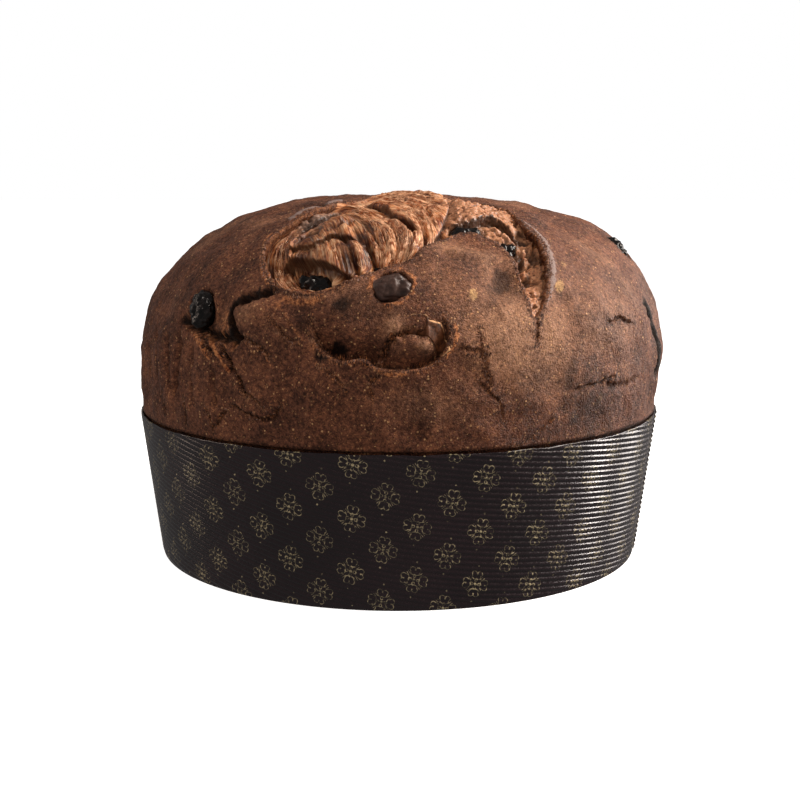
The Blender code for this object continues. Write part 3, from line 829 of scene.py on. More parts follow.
@dataclass(frozen=True)
class CrumbFinish:
    """Torn cocoa crumb: moist caramel-brown fibres that glint, spongy and duller round the rim."""

    deep: str = "2c1209"
    dark: str = "743618"
    middle: str = "ce8450"
    light: str = "ffd0a4"
    sponge_dark: str = "3a1f15"
    sponge_light: str = "b07c5c"
    crumbly: str = "d29a74"
    grey: str = "8d776c"
    glint: str = "f8d2b2"
    fibre_width: float = 0.75
    fibre_length: float = 11.0
    pore_size: float = 1.5
    roughness: float = 0.40

    def material(self) -> bpy.types.Material:
        """Builds the material."""
        made, tree, shader = new_material("torn_cocoa_crumb")
        place = node(tree, "TexCoord").outputs["Object"]
        grain = node(tree, "UVMap", uv_map="grain").outputs["UV"]
        drawn = node(tree, "Mapping", {
            "Vector": grain, "Scale": (1 / self.fibre_width, 1 / self.fibre_length, 1.0),
        })
        fibres = node(tree, "TexNoise", {
            "Vector": drawn.outputs[0], "Scale": 1.0, "Detail": 4.0, "Roughness": 0.66,
        })
        patch = node(tree, "TexNoise", {"Vector": place, "Scale": 1000 / 7.0, "Detail": 3.0})
        both = node(tree, "Mix", {0: 0.42, 2: fibres.outputs["Fac"], 3: patch.outputs["Fac"]})
        base = node(tree, "ValToRGB", {"Fac": both.outputs[0]}, {
            0.38: self.deep, 0.46: self.dark, 0.53: self.middle, 0.62: self.light,
        }).outputs["Color"]
        # Painted highlight: thin threads mixed towards a near-white glint colour.
        threads = node(tree, "Mapping", {"Vector": grain, "Scale": (1 / 0.35, 1 / 5.0, 1.0)})
        thread = node(tree, "TexNoise", {"Vector": threads.outputs[0], "Scale": 1.0, "Detail": 2.0})
        gleam = node(tree, "MapRange", {"Value": thread.outputs["Fac"], 1: 0.58, 2: 0.70, 3: 0.0, 4: 0.9})
        colour = node(tree, "Mix", {0: gleam.outputs[0], 6: base, 7: linear(self.glint)}, data_type="RGBA")
        pores = node(tree, "TexVoronoi", {"Vector": place, "Scale": 1000 / self.pore_size})
        crumbs = node(tree, "TexNoise", {
            "Vector": place, "Scale": 1000 / 1.1, "Detail": 3.0, "Roughness": 0.7,
        })
        spongy = node(tree, "ValToRGB", {"Fac": pores.outputs["Distance"]}, {
            0.08: self.sponge_dark, 0.50: self.sponge_light,
        }).outputs["Color"]
        loose = node(tree, "MapRange", {"Value": crumbs.outputs["Fac"], 1: 0.48, 2: 0.64, 3: 0.0, 4: 0.85})
        spongy = node(tree, "Mix", {
            0: loose.outputs[0], 6: spongy, 7: linear(self.crumbly),
        }, data_type="RGBA").outputs[2]
        pale = node(tree, "Attribute", attribute_name=Paint.PALE.value)
        dried = node(tree, "Math", {0: pale.outputs["Fac"], 1: crumbs.outputs["Fac"]}, operation="MULTIPLY")
        dried = node(tree, "MapRange", {"Value": dried.outputs[0], 1: 0.20, 2: 0.50, 3: 0.0, 4: 0.9})
        spongy = node(tree, "Mix", {
            0: dried.outputs[0], 6: spongy, 7: linear(self.grey),
        }, data_type="RGBA").outputs[2]
        sponge = node(tree, "Attribute", attribute_name=Paint.SPONGE.value)
        colour = node(tree, "Mix", {
            0: sponge.outputs["Fac"], 6: colour.outputs[2], 7: spongy,
        }, data_type="RGBA")
        # Painted shade: hollow paint dims the crumb towards near black.
        hollow = node(tree, "Attribute", attribute_name=Paint.PAINTED_SHADE.value)
        dim = node(tree, "MapRange", {"Value": hollow.outputs["Fac"], 3: 0.0, 4: 0.85})
        colour = node(tree, "Mix", {
            0: dim.outputs[0], 6: colour.outputs[2], 7: linear("1c0d08"),
        }, data_type="RGBA")
        height = node(tree, "Mix", {
            0: sponge.outputs["Fac"], 2: fibres.outputs["Fac"], 3: pores.outputs["Distance"],
        })
        bump = node(tree, "Bump", {"Height": height.outputs[0], "Strength": 0.6, "Distance": 0.6 * MM})
        rough = node(tree, "MapRange", {
            "Value": patch.outputs["Fac"], 1: 0.3, 2: 0.7, 3: self.roughness, 4: self.roughness + 0.2,
        })
        feed(tree, shader, {
            "Base Color": colour.outputs[2],
            "Roughness": rough.outputs[0],
            "Normal": bump.outputs["Normal"],
            "Subsurface Weight": 0.12,
            "Subsurface Radius": (1.6 * MM, 0.7 * MM, 0.35 * MM),
            "Subsurface Scale": 1.0,
        })
        return made


@dataclass(frozen=True)
class StrandFinish:
    """Gluten threads drawn out of the crumb: moist, caramel to straw coloured, with a wet glint."""

    dark: str = "96522c"
    light: str = "ffd2aa"
    roughness: float = 0.30

    def material(self) -> bpy.types.Material:
        """Builds the material."""
        made, tree, shader = new_material("gluten_threads")
        place = node(tree, "TexCoord").outputs["Object"]
        tint = node(tree, "TexNoise", {"Vector": place, "Scale": 1000 / 2.4, "Detail": 3.0})
        colour = node(tree, "ValToRGB", {"Fac": tint.outputs["Fac"]}, {
            0.36: self.dark, 0.64: self.light,
        }).outputs["Color"]
        feed(tree, shader, {"Base Color": colour, "Roughness": self.roughness})
        return made


@dataclass(frozen=True)
class FilmFinish:
    """Film of dough blown thin and baked: glossy translucent caramel brown, with a pale rim that is both its
    broken edge and a painted edge highlight.
    """

    dark: str = "381e10"
    light: str = "6c4026"
    edge: str = "e0ac7a"
    roughness: float = 0.55

    def material(self) -> bpy.types.Material:
        """Builds the material."""
        made, tree, shader = new_material("baked_dough_film")
        place = node(tree, "TexCoord").outputs["Object"]
        cloud = node(tree, "TexNoise", {
            "Vector": place, "Scale": 1000 / 1.6, "Detail": 5.0, "Roughness": 0.7,
        }).outputs["Fac"]
        colour = node(tree, "ValToRGB", {"Fac": cloud}, {0.38: self.dark, 0.64: self.light}).outputs["Color"]
        rim = node(tree, "Attribute", attribute_name=Paint.PALE.value).outputs["Fac"]
        rim = node(tree, "Math", {0: rim, 1: cloud}, operation="MULTIPLY").outputs[0]
        rim = node(tree, "MapRange", {"Value": rim, 1: 0.25, 2: 0.45}).outputs[0]
        colour = node(tree, "Mix", {0: rim, 6: colour, 7: linear(self.edge)}, data_type="RGBA").outputs[2]
        bump = node(tree, "Bump", {"Height": cloud, "Strength": 0.8, "Distance": 0.5 * MM})
        feed(tree, shader, {
            "Base Color": colour,
            "Normal": bump.outputs["Normal"],
            "Roughness": self.roughness,
        })
        return made


@dataclass(frozen=True)
class RaisinFinish:
    """Dark raisin: nearly black wrinkled skin, oily in its folds, with small bright glints."""

    dark: str = "060505"
    light: str = "120d0c"
    bloom: str = "241f20"
    wrinkle_size: float = 2.4
    roughness: float = 0.16

    def material(self) -> bpy.types.Material:
        """Builds the material."""
        made, tree, shader = new_material("raisin_skin")
        place = node(tree, "TexCoord").outputs["Object"]
        folds = node(tree, "TexNoise", {
            "Vector": place, "Scale": 1000 / self.wrinkle_size, "Detail": 2.0, "Distortion": 0.8,
        })
        colour = node(tree, "ValToRGB", {"Fac": folds.outputs["Fac"]}, {
            0.35: self.dark, 0.60: self.light, 0.80: self.bloom,
        }).outputs["Color"]
        bump = node(tree, "Bump", {"Height": folds.outputs["Fac"], "Strength": 0.18, "Distance": 0.4 * MM})
        rough = node(tree, "MapRange", {
            "Value": folds.outputs["Fac"], 1: 0.3, 2: 0.7, 3: self.roughness, 4: self.roughness + 0.2,
        })
        feed(tree, shader, {
            "Base Color": colour,
            "Roughness": rough.outputs[0],
            "Normal": bump.outputs["Normal"],
            "Specular IOR Level": 0.3,
        })
        return made


@dataclass(frozen=True)
class ChocolateFinish:
    """Dark chocolate chunk baked in the dough: dull cocoa brown with a faint grey bloom."""

    dark: str = "231612"
    light: str = "453029"
    bloom: str = "6f5f5a"
    roughness: float = 0.5

    def material(self) -> bpy.types.Material:
        """Builds the material."""
        made, tree, shader = new_material("baked_chocolate")
        place = node(tree, "TexCoord").outputs["Object"]
        cloud = node(tree, "TexNoise", {
            "Vector": place, "Scale": 1000 / 4.0, "Detail": 5.0, "Roughness": 0.7,
        })
        colour = node(tree, "ValToRGB", {"Fac": cloud.outputs["Fac"]}, {
            0.35: self.dark, 0.58: self.light, 0.78: self.bloom,
        }).outputs["Color"]
        bump = node(tree, "Bump", {"Height": cloud.outputs["Fac"], "Strength": 0.4, "Distance": 0.4 * MM})
        feed(tree, shader, {
            "Base Color": colour,
            "Normal": bump.outputs["Normal"],
            "Roughness": self.roughness,
        })
        return made


@dataclass(frozen=True)
class BoardFinish:
    """Fluted baking board: dark aubergine-brown coated paper with a satin gleam along its ribs.

    Its print is a half-drop of small gold florets, drawn in fine lines that the ribs break up.
    """

    board: str = "1b1115"
    board_worn: str = "27191e"
    ink: str = "a89c7c"
    column_pitch: float = 24.42
    row_pitch: float = 21.2
    first: Place = (17.5, 45.3)
    row_slope: float = 0.124
    column_slope: float = -0.05
    lean: float = 7.0
    line_width: float = 0.22
    lobe_out: float = 4.1
    lobe_side: float = 1.05
    lobe_radius: float = 1.05
    waist_out: float = 3.1
    waist_side: float = 0.7
    waist_radius: float = 1.05
    tip_out: float = 1.5
    tip_radius: float = 0.5
    dot_out: float = 7.3
    roughness: float = 0.22

    def floret(self, tree: bpy.types.NodeTree, across: Wire, up: Wire) -> Wire:
        """Draws one floret.

        Args:
            tree: The node tree.
            across: Distance right of the floret's middle.
            up: Distance above it.

        Returns:
            A mask that is 1 on the floret's lines.
        """
        place = node(tree, "CombineXYZ", {0: across, 1: up})
        turned = node(tree, "VectorRotate", {
            "Vector": place.outputs[0], "Angle": math.radians(self.lean),
        }, rotation_type="Z_AXIS")
        folded = node(tree, "VectorMath", {0: turned.outputs[0]}, operation="ABSOLUTE")
        sides = node(tree, "SeparateXYZ", {0: folded.outputs[0]})
        outer = node(tree, "Math", {0: sides.outputs[0], 1: sides.outputs[1]}, operation="MAXIMUM")
        inner = node(tree, "Math", {0: sides.outputs[0], 1: sides.outputs[1]}, operation="MINIMUM")
        octant = node(tree, "CombineXYZ", {0: outer.outputs[0], 1: inner.outputs[0]})
        rounds = []
        for middle, radius in (
            ((self.lobe_out, self.lobe_side, 0.0), self.lobe_radius),
            ((self.waist_out, self.waist_side, 0.0), self.waist_radius),
            ((self.tip_out, 0.0, 0.0), self.tip_radius),
        ):
            gap = node(tree, "VectorMath", {0: octant.outputs[0], 1: middle}, operation="DISTANCE")
            rounds.append(node(tree, "Math", {0: gap.outputs["Value"], 1: radius}, operation="SUBTRACT"))
        upper = node(tree, "Math", {
            0: rounds[0].outputs[0], 1: rounds[1].outputs[0], 2: 0.25,
        }, operation="SMOOTH_MIN")
        heart = node(tree, "Math", {
            0: upper.outputs[0], 1: rounds[2].outputs[0], 2: 0.5,
        }, operation="SMOOTH_MIN")
        outline = node(tree, "Math", {0: heart.outputs[0]}, operation="ABSOLUTE")
        diagonal = node(tree, "Math", {0: outer.outputs[0], 1: inner.outputs[0]}, operation="SUBTRACT")
        split = node(tree, "Math", {0: diagonal.outputs[0], 1: 0.55}, operation="SUBTRACT")
        diagonal = node(tree, "Math", {0: split.outputs[0]}, operation="ABSOLUTE")
        far = node(tree, "Math", {0: inner.outputs[0], 1: 2.2, 2: 0.6}, operation="COMPARE")
        ray = node(tree, "MapRange", {"Value": far.outputs[0], 1: 0.0, 2: 1.0, 3: 9.0, 4: 0.0})
        ray = node(tree, "Math", {0: ray.outputs[0], 1: diagonal.outputs[0]}, operation="ADD")
        centre = node(tree, "VectorMath", {0: octant.outputs[0]}, operation="LENGTH")
        hub = node(tree, "Math", {0: centre.outputs["Value"], 1: 0.45}, operation="SUBTRACT")
        curl = node(tree, "VectorMath", {
            0: octant.outputs[0], 1: (self.lobe_out - 0.1, 0.0, 0.0),
        }, operation="DISTANCE")
        curl = node(tree, "Math", {0: curl.outputs["Value"], 1: 0.15}, operation="SUBTRACT")
        above = node(tree, "SeparateXYZ", {0: turned.outputs[0]})
        lift = node(tree, "Math", {0: above.outputs[1]}, operation="ABSOLUTE")
        spot = node(tree, "CombineXYZ", {0: above.outputs[0], 1: lift.outputs[0]})
        dot = node(tree, "VectorMath", {
            0: spot.outputs[0], 1: (0.0, self.dot_out, 0.0),
        }, operation="DISTANCE")
        dot = node(tree, "Math", {0: dot.outputs["Value"], 1: 0.2}, operation="SUBTRACT")
        lines = outline
        for shape in (ray, hub, curl, dot):
            lines = node(tree, "Math", {0: lines.outputs[0], 1: shape.outputs[0]}, operation="MINIMUM")
        mask = node(tree, "MapRange", {
            "Value": lines.outputs[0], 1: self.line_width * 0.9, 2: self.line_width * 0.25, 3: 0.0, 4: 1.0,
        })
        return mask.outputs[0]

    def florets(self, tree: bpy.types.NodeTree) -> Wire:
        """Repeats the floret over the wall: two a cell, half a cell apart both ways."""
        wall = node(tree, "SeparateXYZ", {0: node(tree, "UVMap", uv_map="wall").outputs["UV"]})
        around, up = wall.outputs[0], wall.outputs[1]
        across = node(tree, "Math", {
            0: up, 1: self.column_slope, 2: around,
        }, operation="MULTIPLY_ADD").outputs[0]
        rise = node(tree, "Math", {0: around, 1: self.row_slope, 2: up}, operation="MULTIPLY_ADD").outputs[0]
        masks = []
        for half in (0.0, 0.5):
            cell = []
            for value, pitch, first in (
                (across, self.column_pitch, self.first[0]),
                (rise, self.row_pitch, self.first[1]),
            ):
                moved = node(tree, "Math", {0: value, 1: (half + 40.5) * pitch - first}, operation="ADD")
                inside = node(tree, "Math", {0: moved.outputs[0], 1: pitch}, operation="MODULO")
                cell.append(node(tree, "Math", {
                    0: inside.outputs[0], 1: pitch / 2,
                }, operation="SUBTRACT").outputs[0])
            masks.append(self.floret(tree, *cell))
        return node(tree, "Math", {0: masks[0], 1: masks[1]}, operation="MAXIMUM").outputs[0]

    def material(self) -> bpy.types.Material:
        """Builds the material."""
        made, tree, shader = new_material("printed_fluted_board")
        place = node(tree, "TexCoord").outputs["Object"]
        fibre = node(tree, "TexNoise", {"Vector": place, "Scale": 1000 / 1.1, "Detail": 4.0})
        cloud = node(tree, "TexNoise", {"Vector": place, "Scale": 1000 / 30.0, "Detail": 3.0})
        both = node(tree, "Mix", {0: 0.5, 2: fibre.outputs["Fac"], 3: cloud.outputs["Fac"]})
        base = node(tree, "ValToRGB", {"Fac": both.outputs[0]}, {
            0.40: self.board, 0.66: self.board_worn,
        }).outputs["Color"]
        worn = node(tree, "MapRange", {"Value": fibre.outputs["Fac"], 1: 0.42, 2: 0.56, 3: 0.15, 4: 1.0})
        ink = node(tree, "Math", {0: self.florets(tree), 1: worn.outputs[0]}, operation="MULTIPLY")
        crest = node(tree, "Attribute", attribute_name=Paint.CREST.value)
        kept = node(tree, "MapRange", {"Value": crest.outputs["Fac"], 1: 0.1, 2: 0.6, 3: 0.45, 4: 1.0})
        ink = node(tree, "Math", {0: ink.outputs[0], 1: kept.outputs[0]}, operation="MULTIPLY")
        colour = node(tree, "Mix", {0: ink.outputs[0], 6: base, 7: linear(self.ink)}, data_type="RGBA")
        rough = node(tree, "MapRange", {
            "Value": fibre.outputs["Fac"], 1: 0.3, 2: 0.7, 3: self.roughness - 0.06, 4: self.roughness + 0.14,
        })
        bump = node(tree, "Bump", {"Height": fibre.outputs["Fac"], "Strength": 0.25, "Distance": 0.15 * MM})
        feed(tree, shader, {
            "Base Color": colour.outputs[2],
            "Roughness": rough.outputs[0],
            "Normal": bump.outputs["Normal"],
        })
        return made


def vertex_array(mesh: bmesh.types.BMesh) -> Array:
    """The places of all vertices of a bmesh, one per row."""
    return np.array([vertex.co for vertex in mesh.verts], float)


def move_vertices(mesh: bmesh.types.BMesh, places: Array) -> None:
    """Moves a bmesh's first vertices to places given in millimetres."""
    for vertex, place in zip(mesh.verts, places * MM):
        vertex.co = place


def baked(work: bmesh.types.BMesh, name: str) -> bpy.types.Mesh:
    """Turns a bmesh into a mesh, and frees it."""
    mesh = bpy.data.meshes.new(name)
    work.to_mesh(mesh)
    work.free()
    return mesh


def add_paint(mesh: bpy.types.Mesh, paint: Paint, values: Array) -> None:
    """Stores a value from 0 to 1 at each of a mesh's first vertices, and 0 at the rest."""
    filled = np.zeros(len(mesh.vertices), np.float32)
    filled[: len(values)] = np.clip(values, 0.0, 1.0)
    mesh.attributes.new(paint.value, "FLOAT", "POINT").data.foreach_set("value", filled)


def show(
    name: str,
    mesh: bpy.types.Mesh,
    material: bpy.types.Material,
    stands_for: tuple[str, ...] = (),
) -> bpy.types.Object:
    """Puts a finished mesh into the scene as a piece of the object.

    Args:
        name: The piece's name.
        mesh: Its mesh, in metres.
        material: Its material.
        stands_for: The frame's nodes that it replaces.

    Returns:
        The piece.
    """
    mesh.materials.clear()
    mesh.materials.append(material)
    mesh.shade_smooth()
    made = bpy.data.objects.new(name, mesh)
    bpy.context.scene.collection.objects.link(made)
    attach(made, "root")
    for stood in stands_for:
        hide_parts(stood)
    mesh.calc_loop_triangles()
    LOG.info("%s: %d triangles", name, len(mesh.loop_triangles))
    return made


def refine(mesh: bmesh.types.BMesh, chosen: Array) -> None:
    """Splits the chosen faces of a flat map mesh in four."""
    edges = {edge for face, pick in zip(mesh.faces, chosen) if pick for edge in face.edges}
    bmesh.ops.subdivide_edges(mesh, edges=list(edges), cuts=1, use_grid_fill=True)


def face_middles(mesh: bmesh.types.BMesh) -> tuple[Array, Array]:
    """The map coordinates of the middles of a flat mesh's faces."""
    middles = np.array([face.calc_center_median() for face in mesh.faces], float)
    return middles[:, 0], middles[:, 1]


@dataclass
class Crust:
    """The whole loaf's skin, with the mouth of the tear sunk below the crumb, and its foot."""

    dough: Dough
    sockets: tuple[Socket, ...]
    cells: int = 132
    front: float = 24.0
    refined_widths: tuple[float, ...] = (1.9, 0.8)
    sharp_groove: float = 1.0
    lip_rings: tuple[Place, ...] = ((0.45, 0.25), (0.75, 0.9), (0.45, 1.7), (-0.8, 3.2), (-1.6, 7.5))
    nibbled: float = 0.7
    floor_sink: float = 12.0
    foot_radius: float = 103.0
    wall_slope: float = 7.9 / 62.0
    foot_height: float = 1.2
    foot_middle: float = 34.0
    collar: float = 8.0
    foot_rounding: float = 2.5

    def map_mesh(self) -> bmesh.types.BMesh:
        """The flat map: a disc of near-square cells, finer in front and finest at lips and cracks."""
        mesh = bmesh.new()
        bmesh.ops.create_grid(mesh, x_segments=self.cells, y_segments=self.cells, size=1.0)
        flat = vertex_array(mesh)
        u, v = flat[:, 0], flat[:, 1]
        wide = np.abs(u) >= np.abs(v)
        radius = np.where(wide, u, v)
        safe_u, safe_v = np.where(wide, np.where(u == 0, 1.0, u), 1.0), np.where(wide, 1.0, v)
        turn = np.where(wide, math.pi / 4 * v / safe_u, math.pi / 2 - math.pi / 4 * u / safe_v)
        reach = self.dough.dome.reach()
        for vertex, x, y in zip(mesh.verts, radius * np.cos(turn) * reach, radius * np.sin(turn) * reach):
            vertex.co = (x, y, 0.0)
        a, b = face_middles(mesh)
        refine(mesh, b < self.front)
        sharp = [groove for groove in self.dough.grooves() if groove.width < self.sharp_groove]
        lines = [self.dough.tear.mouth(), *(mark.line for mark in (*self.dough.folds(), *sharp))]
        for width in self.refined_widths:
            a, b = face_middles(mesh)
            near = np.full(len(a), 1e3)
            for line in lines:
                near = np.minimum(near, line.near(a, b, 4.0).distance)
            for socket in self.sockets:
                out = np.hypot(a - socket.place[0], b - socket.place[1]) - 0.8 * socket.half_length
                near = np.minimum(near, np.abs(out))
            refine(mesh, near < width)
        return mesh

    def sink_mouth(self, mesh: bmesh.types.BMesh) -> None:
        """Presses the faces inside the mouth down in rings, which round off the lip and undercut it.

        Args:
            mesh: The flat map. Its z coordinates are left holding how deep each vertex is sunk.
        """
        inside = self.dough.tear.mouth().contains(*face_middles(mesh))
        faces = [face for face, pick in zip(mesh.faces, inside) if pick]
        ring = self.ordered(self.rim_of(faces))
        turn = self.fit_ring(ring)
        base = []
        for i, vertex in enumerate(ring):
            ahead, behind = ring[(i + 1) % len(ring)].co, ring[i - 1].co
            travel = (ahead - behind).normalized() * turn
            base.append((vertex.co.copy(), Vector((-travel.y, travel.x, 0.0))))
        for inward, sink in self.lip_rings:
            grown = bmesh.ops.extrude_face_region(mesh, geom=faces)["geom"]
            bmesh.ops.delete(mesh, geom=faces, context="FACES")
            faces = [g for g in grown if isinstance(g, bmesh.types.BMFace)]
            lowered = {vertex for face in faces for vertex in face.verts}
            for vertex in lowered:
                vertex.co.z = sink
            ring = self.matched(self.ordered(self.rim_of(faces)), ring)
            for vertex, (start, across) in zip(ring, base):
                vertex.co = start + across * inward + Vector((0.0, 0.0, sink))
        for vertex in lowered - set(ring):
            vertex.co.z = self.floor_sink

    def fit_ring(self, ring: list[bmesh.types.BMVert]) -> float:
        """Moves a ring of vertices onto the mouth's line, evenly, and nibbles it.

        Args:
            ring: The vertices, in order.

        Returns:
            1 if the ring runs the way the line does, or -1.
        """
        mouth = self.dough.tear.mouth()
        chain = mouth.trace()
        arc = np.append(0.0, np.cumsum(np.hypot(*np.diff(chain, axis=0).T)))
        places = np.array([vertex.co.xy for vertex in ring])
        near = mouth.near(places[:, 0], places[:, 1])
        along = np.interp(near.along, np.linspace(0, 1, len(arc)), arc)
        along = np.unwrap(along, period=arc[-1])
        for _ in range(6):
            wrap = np.sign(along[-1] - along[0]) * arc[-1]
            padded = np.concatenate([[along[-1] - wrap], along, [along[0] + wrap]])
            along = 0.5 * padded[1:-1] + 0.25 * (padded[:-2] + padded[2:])
        for vertex, s in zip(ring, along % arc[-1]):
            x, y = np.interp(s, arc, chain[:, 0]), np.interp(s, arc, chain[:, 1])
            nibble = noise.noise((x / 2.6, y / 2.6, 5.0)) + 0.5 * noise.noise((x / 1.1, y / 1.1, 9.0))
            vertex.co.x, vertex.co.y = x + self.nibbled * nibble, y + self.nibbled * nibble
        return np.sign(along[-1] - along[0])

    @staticmethod
    def rim_of(faces: list[bmesh.types.BMFace]) -> set[bmesh.types.BMEdge]:
        """The edges where some faces meet others."""
        held = set(faces)
        return {e for f in faces for e in f.edges if any(g not in held for g in e.link_faces)}

    @staticmethod
    def ordered(edges: set[bmesh.types.BMEdge]) -> list[bmesh.types.BMVert]:
        """The vertices of a closed ring of edges, in order."""
        start = min(edges, key=lambda edge: edge.verts[0].co.x)
        ring, current, last = [start.verts[0]], start.verts[1], start
        while current is not ring[0]:
            ring.append(current)
            last = next(e for e in current.link_edges if e in edges and e is not last)
            current = last.other_vert(current)
        return ring

    @staticmethod
    def matched(ring: list[bmesh.types.BMVert], before: list[bmesh.types.BMVert]) -> list[bmesh.types.BMVert]:
        """Reorders a new ring so that each vertex is joined to the same one of the ring before."""
        joined = {}
        members = set(ring)
        for i, vertex in enumerate(before):
            for edge in vertex.link_edges:
                other = edge.other_vert(vertex)
                if other in members:
                    joined[i] = other
        return [joined[i] for i in range(len(before))]

    def add_foot(self, mesh: bmesh.types.BMesh) -> None:
        """Closes the loaf with the part that the case holds."""
        dome = self.dough.dome
        low, neck = self.foot_height, dome.neck_height
        heights = (neck, neck - self.collar, self.foot_middle, low + self.foot_rounding, low)
        rim = [edge for edge in mesh.edges if edge.is_boundary]
        for level, height in enumerate(heights):
            grown = bmesh.ops.extrude_edge_only(mesh, edges=rim)["geom"]
            rim = [g for g in grown if isinstance(g, bmesh.types.BMEdge)]
            radius = self.foot_radius + self.wall_slope * height
            if level == len(heights) - 1:
                radius -= self.foot_rounding
            for vertex in {v for e in rim for v in e.verts}:
                out = Vector((vertex.co.x, vertex.co.y, 0.0)).normalized()
                vertex.co = out * radius * MM + Vector((0.0, 0.0, height * MM))
        bmesh.ops.contextual_create(mesh, geom=rim)

    def build(self, finish: CrustFinish) -> bpy.types.Object:
        """Builds the piece.

        Args:
            finish: The crust's finish.

        Returns:
            The piece.
        """
        flat = self.map_mesh()
        self.sink_mouth(flat)
        places = vertex_array(flat)
        skin = self.dough.shape(places[:, 0], places[:, 1], self.sockets)
        sunk = places[:, 2]
        skin.paint[Paint.RAW] += 0.8 * smoothstep(0.8, 1.6, sunk)
        # Painted shade where the crumb lies deep under the lip.
        skin.paint[Paint.STAIN_AND_SHADE] += 0.7 * smoothstep(1.3, 3.0, sunk)
        skin.paint[Paint.PALE] *= smoothstep(1.9, 0.9, sunk)
        surface = self.dough.dome.raised(
            places[:, 0] + skin.shift_a, places[:, 1] + skin.shift_b, skin.height - sunk
        )
        move_vertices(flat, surface)
        self.add_foot(flat)
        bmesh.ops.recalc_face_normals(flat, faces=flat.faces)
        mesh = baked(flat, "crust")
        for paint in (Paint.RAW, Paint.PALE, Paint.STAIN_AND_SHADE, Paint.TAN, Paint.STRAW):
            add_paint(mesh, paint, skin.paint[paint])
        return show("crust", mesh, finish.material(), ("loaf",))


